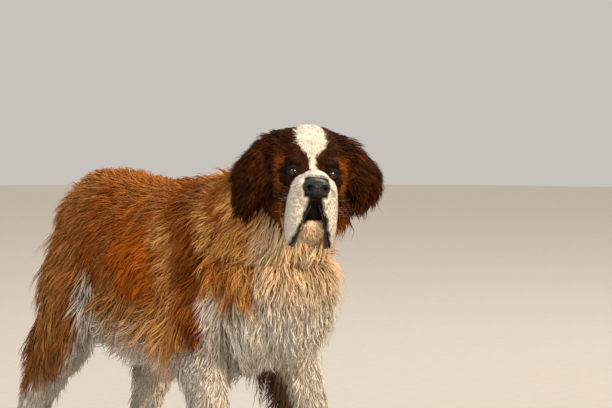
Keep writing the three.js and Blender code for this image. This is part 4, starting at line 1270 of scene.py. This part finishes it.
class MakeFace(bpy.types.Operator):
    """Makes the eyes, lids, nose and lips"""

    bl_idname = "saint_bernard.face"
    bl_label = "Eyes, nose and lips"

    def execute(self, context):
        settings = context.scene.dog_face
        lips = leather_material("lip_wet_skin", tuple(settings.lips), 500, 0.1, 0.0004, 0.4)
        nose = leather_material("nose_pebbled", tuple(settings.nose), 620, 0.34, 0.0007)
        lids_skin = leather_material("lid_skin", tuple(settings.lips), 900, 0.62, 0.0004, 0.0)
        gloss = eye_material()
        for name, side in SIDES:
            finish_piece(outward(make_eye("eyeball_" + name, side)), gloss, "eye", "eye_" + name)
            lids, hairy = make_lids("lids_" + name, side)
            finish_piece(outward(lids), lids_skin, "lip_skin")
            field = (*mesh_arrays(lids.data), np.full(len(hairy), LID))
            grow_coat("coat_lids_" + name, field, hairy, 2200, SHORT_STEPS, 71 + side, "coat_dark")
            finish_piece(outward(make_lip("lip_line_" + name, side)), lips, "lip_skin", "lip_" + name)
        finish_piece(outward(make_nose()), nose, "nose_leather", "nose")
        return {"FINISHED"}


class MakeClaws(bpy.types.Operator):
    """Makes the sixteen curved claws"""

    bl_idname = "saint_bernard.claws"
    bl_label = "Claws"

    def execute(self, context):
        horn = claw_material()
        for node in [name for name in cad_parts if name.startswith("claw_")]:
            finish_piece(outward(make_claw(node)), horn, "claw", node)
        return {"FINISHED"}


class MakeWhiskers(bpy.types.Operator):
    """Sets whiskers on the upper lips"""

    bl_idname = "saint_bernard.whiskers"
    bl_label = "Whiskers"

    def execute(self, context):
        points, _, triangles, _, part = skin_arrays()
        x, y, z = to_head(points[triangles].mean(1)).T
        chosen = (part == MUZZLE) & (np.abs(y) > 30) & (x > 84) & (x < 124) & (z < -40) & (z > -98)
        patch = mesh_object("whiskers", points, triangles[chosen].tolist())
        material = whisker_material()
        grow = patch.modifiers.new("Whiskers", "NODES")
        grow.node_group = whisker_tree(material)
        for item in grow.node_group.interface.items_tree:
            if item.item_type == "SOCKET" and item.in_out == "INPUT" and item.name == "Length":
                grow[item.identifier] = context.scene.dog_face.whisker_length
        settle(patch)
        if not len(patch.data.vertices):
            raise RuntimeError("no whiskers were made")
        finish_piece(patch, material, "coat_white")
        return {"FINISHED"}


class SetStage(bpy.types.Operator):
    """Sets the camera, the floor and the soft studio light"""

    bl_idname = "saint_bernard.stage"
    bl_label = "Stage"

    def add_light(self, name, kind, target, away, values):
        """A lamp that stands away from the target and is turned towards it."""
        light = bpy.data.lights.new(name, kind)
        for key, value in values.items():
            setattr(light, key, value)
        lamp = bpy.data.objects.new(name, light)
        lamp.location = Vector(target + away)
        lamp.rotation_euler = Vector(away).to_track_quat("Z", "Y").to_euler()
        bpy.context.scene.collection.objects.link(lamp)

    def execute(self, context):
        scene = context.scene
        settings = scene.dog_stage
        back = unit(LOOK_FROM)
        right = unit(np.cross((0, 0, 1), back))
        up = np.cross(back, right)
        target = (LOOK_AT + OFFSET) / 1000
        turn = np.eye(4)
        turn[:3] = np.stack([right, up, back, target + back * CAMERA_METRES], 1)
        lens = bpy.data.cameras.new("camera")
        lens.lens, lens.sensor_width, lens.clip_end = LENS, SENSOR, 100.0
        camera = bpy.data.objects.new("camera", lens)
        camera.matrix_world = Matrix(turn.tolist())
        scene.collection.objects.link(camera)
        scene.camera = camera
        angle = np.linspace(0, 2 * math.pi, FLOOR_POINTS, endpoint=False)
        circle = np.stack([np.cos(angle), np.sin(angle), 0 * angle], 1)
        points = np.vstack([circle * radius for radius in FLOOR_RINGS] + [(0, 0, 0)]) - (0, 0, FLOOR_DEPTH)
        faces = grid_faces(len(FLOOR_RINGS), FLOOR_POINTS)
        faces += [(len(points) - 1, j, (j + 1) % FLOOR_POINTS) for j in range(FLOOR_POINTS)]
        floor = mesh_object("floor", points * 1000 - OFFSET, faces)
        floor.data.materials.append(floor_material())
        self.add_light("fill_light", "AREA", target, back * 4.0 - right * 3.6 + up * 3.4, {
            "shape": "DISK", "size": 3.4, "energy": settings.fill * 1.5, "color": (1.0, 0.95, 0.88),
        })
        self.add_light("rim_light", "AREA", target, -back * 2.6 + right * 1.6 + up * 4.4, {
            "shape": "DISK", "size": 2.4, "energy": settings.fill * 1.6, "color": (1.0, 0.90, 0.76),
        })
        self.add_light("main_light", "SUN", target, back * 2.3 + right * 3.0 + up * 1.5, {
            "energy": settings.sun, "angle": 0.22, "color": (1.0, 0.79, 0.54),
        })
        world = bpy.data.worlds.new("studio")
        world.use_nodes = True
        background = world.node_tree.nodes["Background"]
        feed(world.node_tree, background, {"Color": (0.92, 0.87, 0.81, 1), "Strength": 0.62})
        scene.world = world
        scene.view_settings.view_transform = "Standard"
        scene.view_settings.look = "None"
        return {"FINISHED"}


OPERATORS = (SetStage, MakeSkin, GrowCoat, MakeFace, MakeClaws, MakeWhiskers)


class DogPanel(bpy.types.Panel):
    bl_label = "Saint Bernard"
    bl_idname = "VIEW3D_PT_saint_bernard"
    bl_space_type = "VIEW_3D"
    bl_region_type = "UI"
    bl_category = "Saint Bernard"

    def draw(self, context):
        for settings in (context.scene.dog_coat, context.scene.dog_face, context.scene.dog_stage):
            box = self.layout.box()
            for name in settings.__annotations__:
                box.prop(settings, name)
        for operator in OPERATORS:
            self.layout.operator(operator.bl_idname)


CLASSES = (CoatSettings, FaceSettings, StageSettings, *OPERATORS, DogPanel)


def register():
    for item in CLASSES:
        bpy.utils.register_class(item)
    bpy.types.Scene.dog_coat = PointerProperty(type=CoatSettings)
    bpy.types.Scene.dog_face = PointerProperty(type=FaceSettings)
    bpy.types.Scene.dog_stage = PointerProperty(type=StageSettings)


def unregister():
    del bpy.types.Scene.dog_coat, bpy.types.Scene.dog_face, bpy.types.Scene.dog_stage
    for item in reversed(CLASSES):
        bpy.utils.unregister_class(item)


def main():
    register()
    for name in ("stage", "skin", "coat", "face", "claws", "whiskers"):
        getattr(bpy.ops.saint_bernard, name)()


if __name__ == "__main__":
    main()
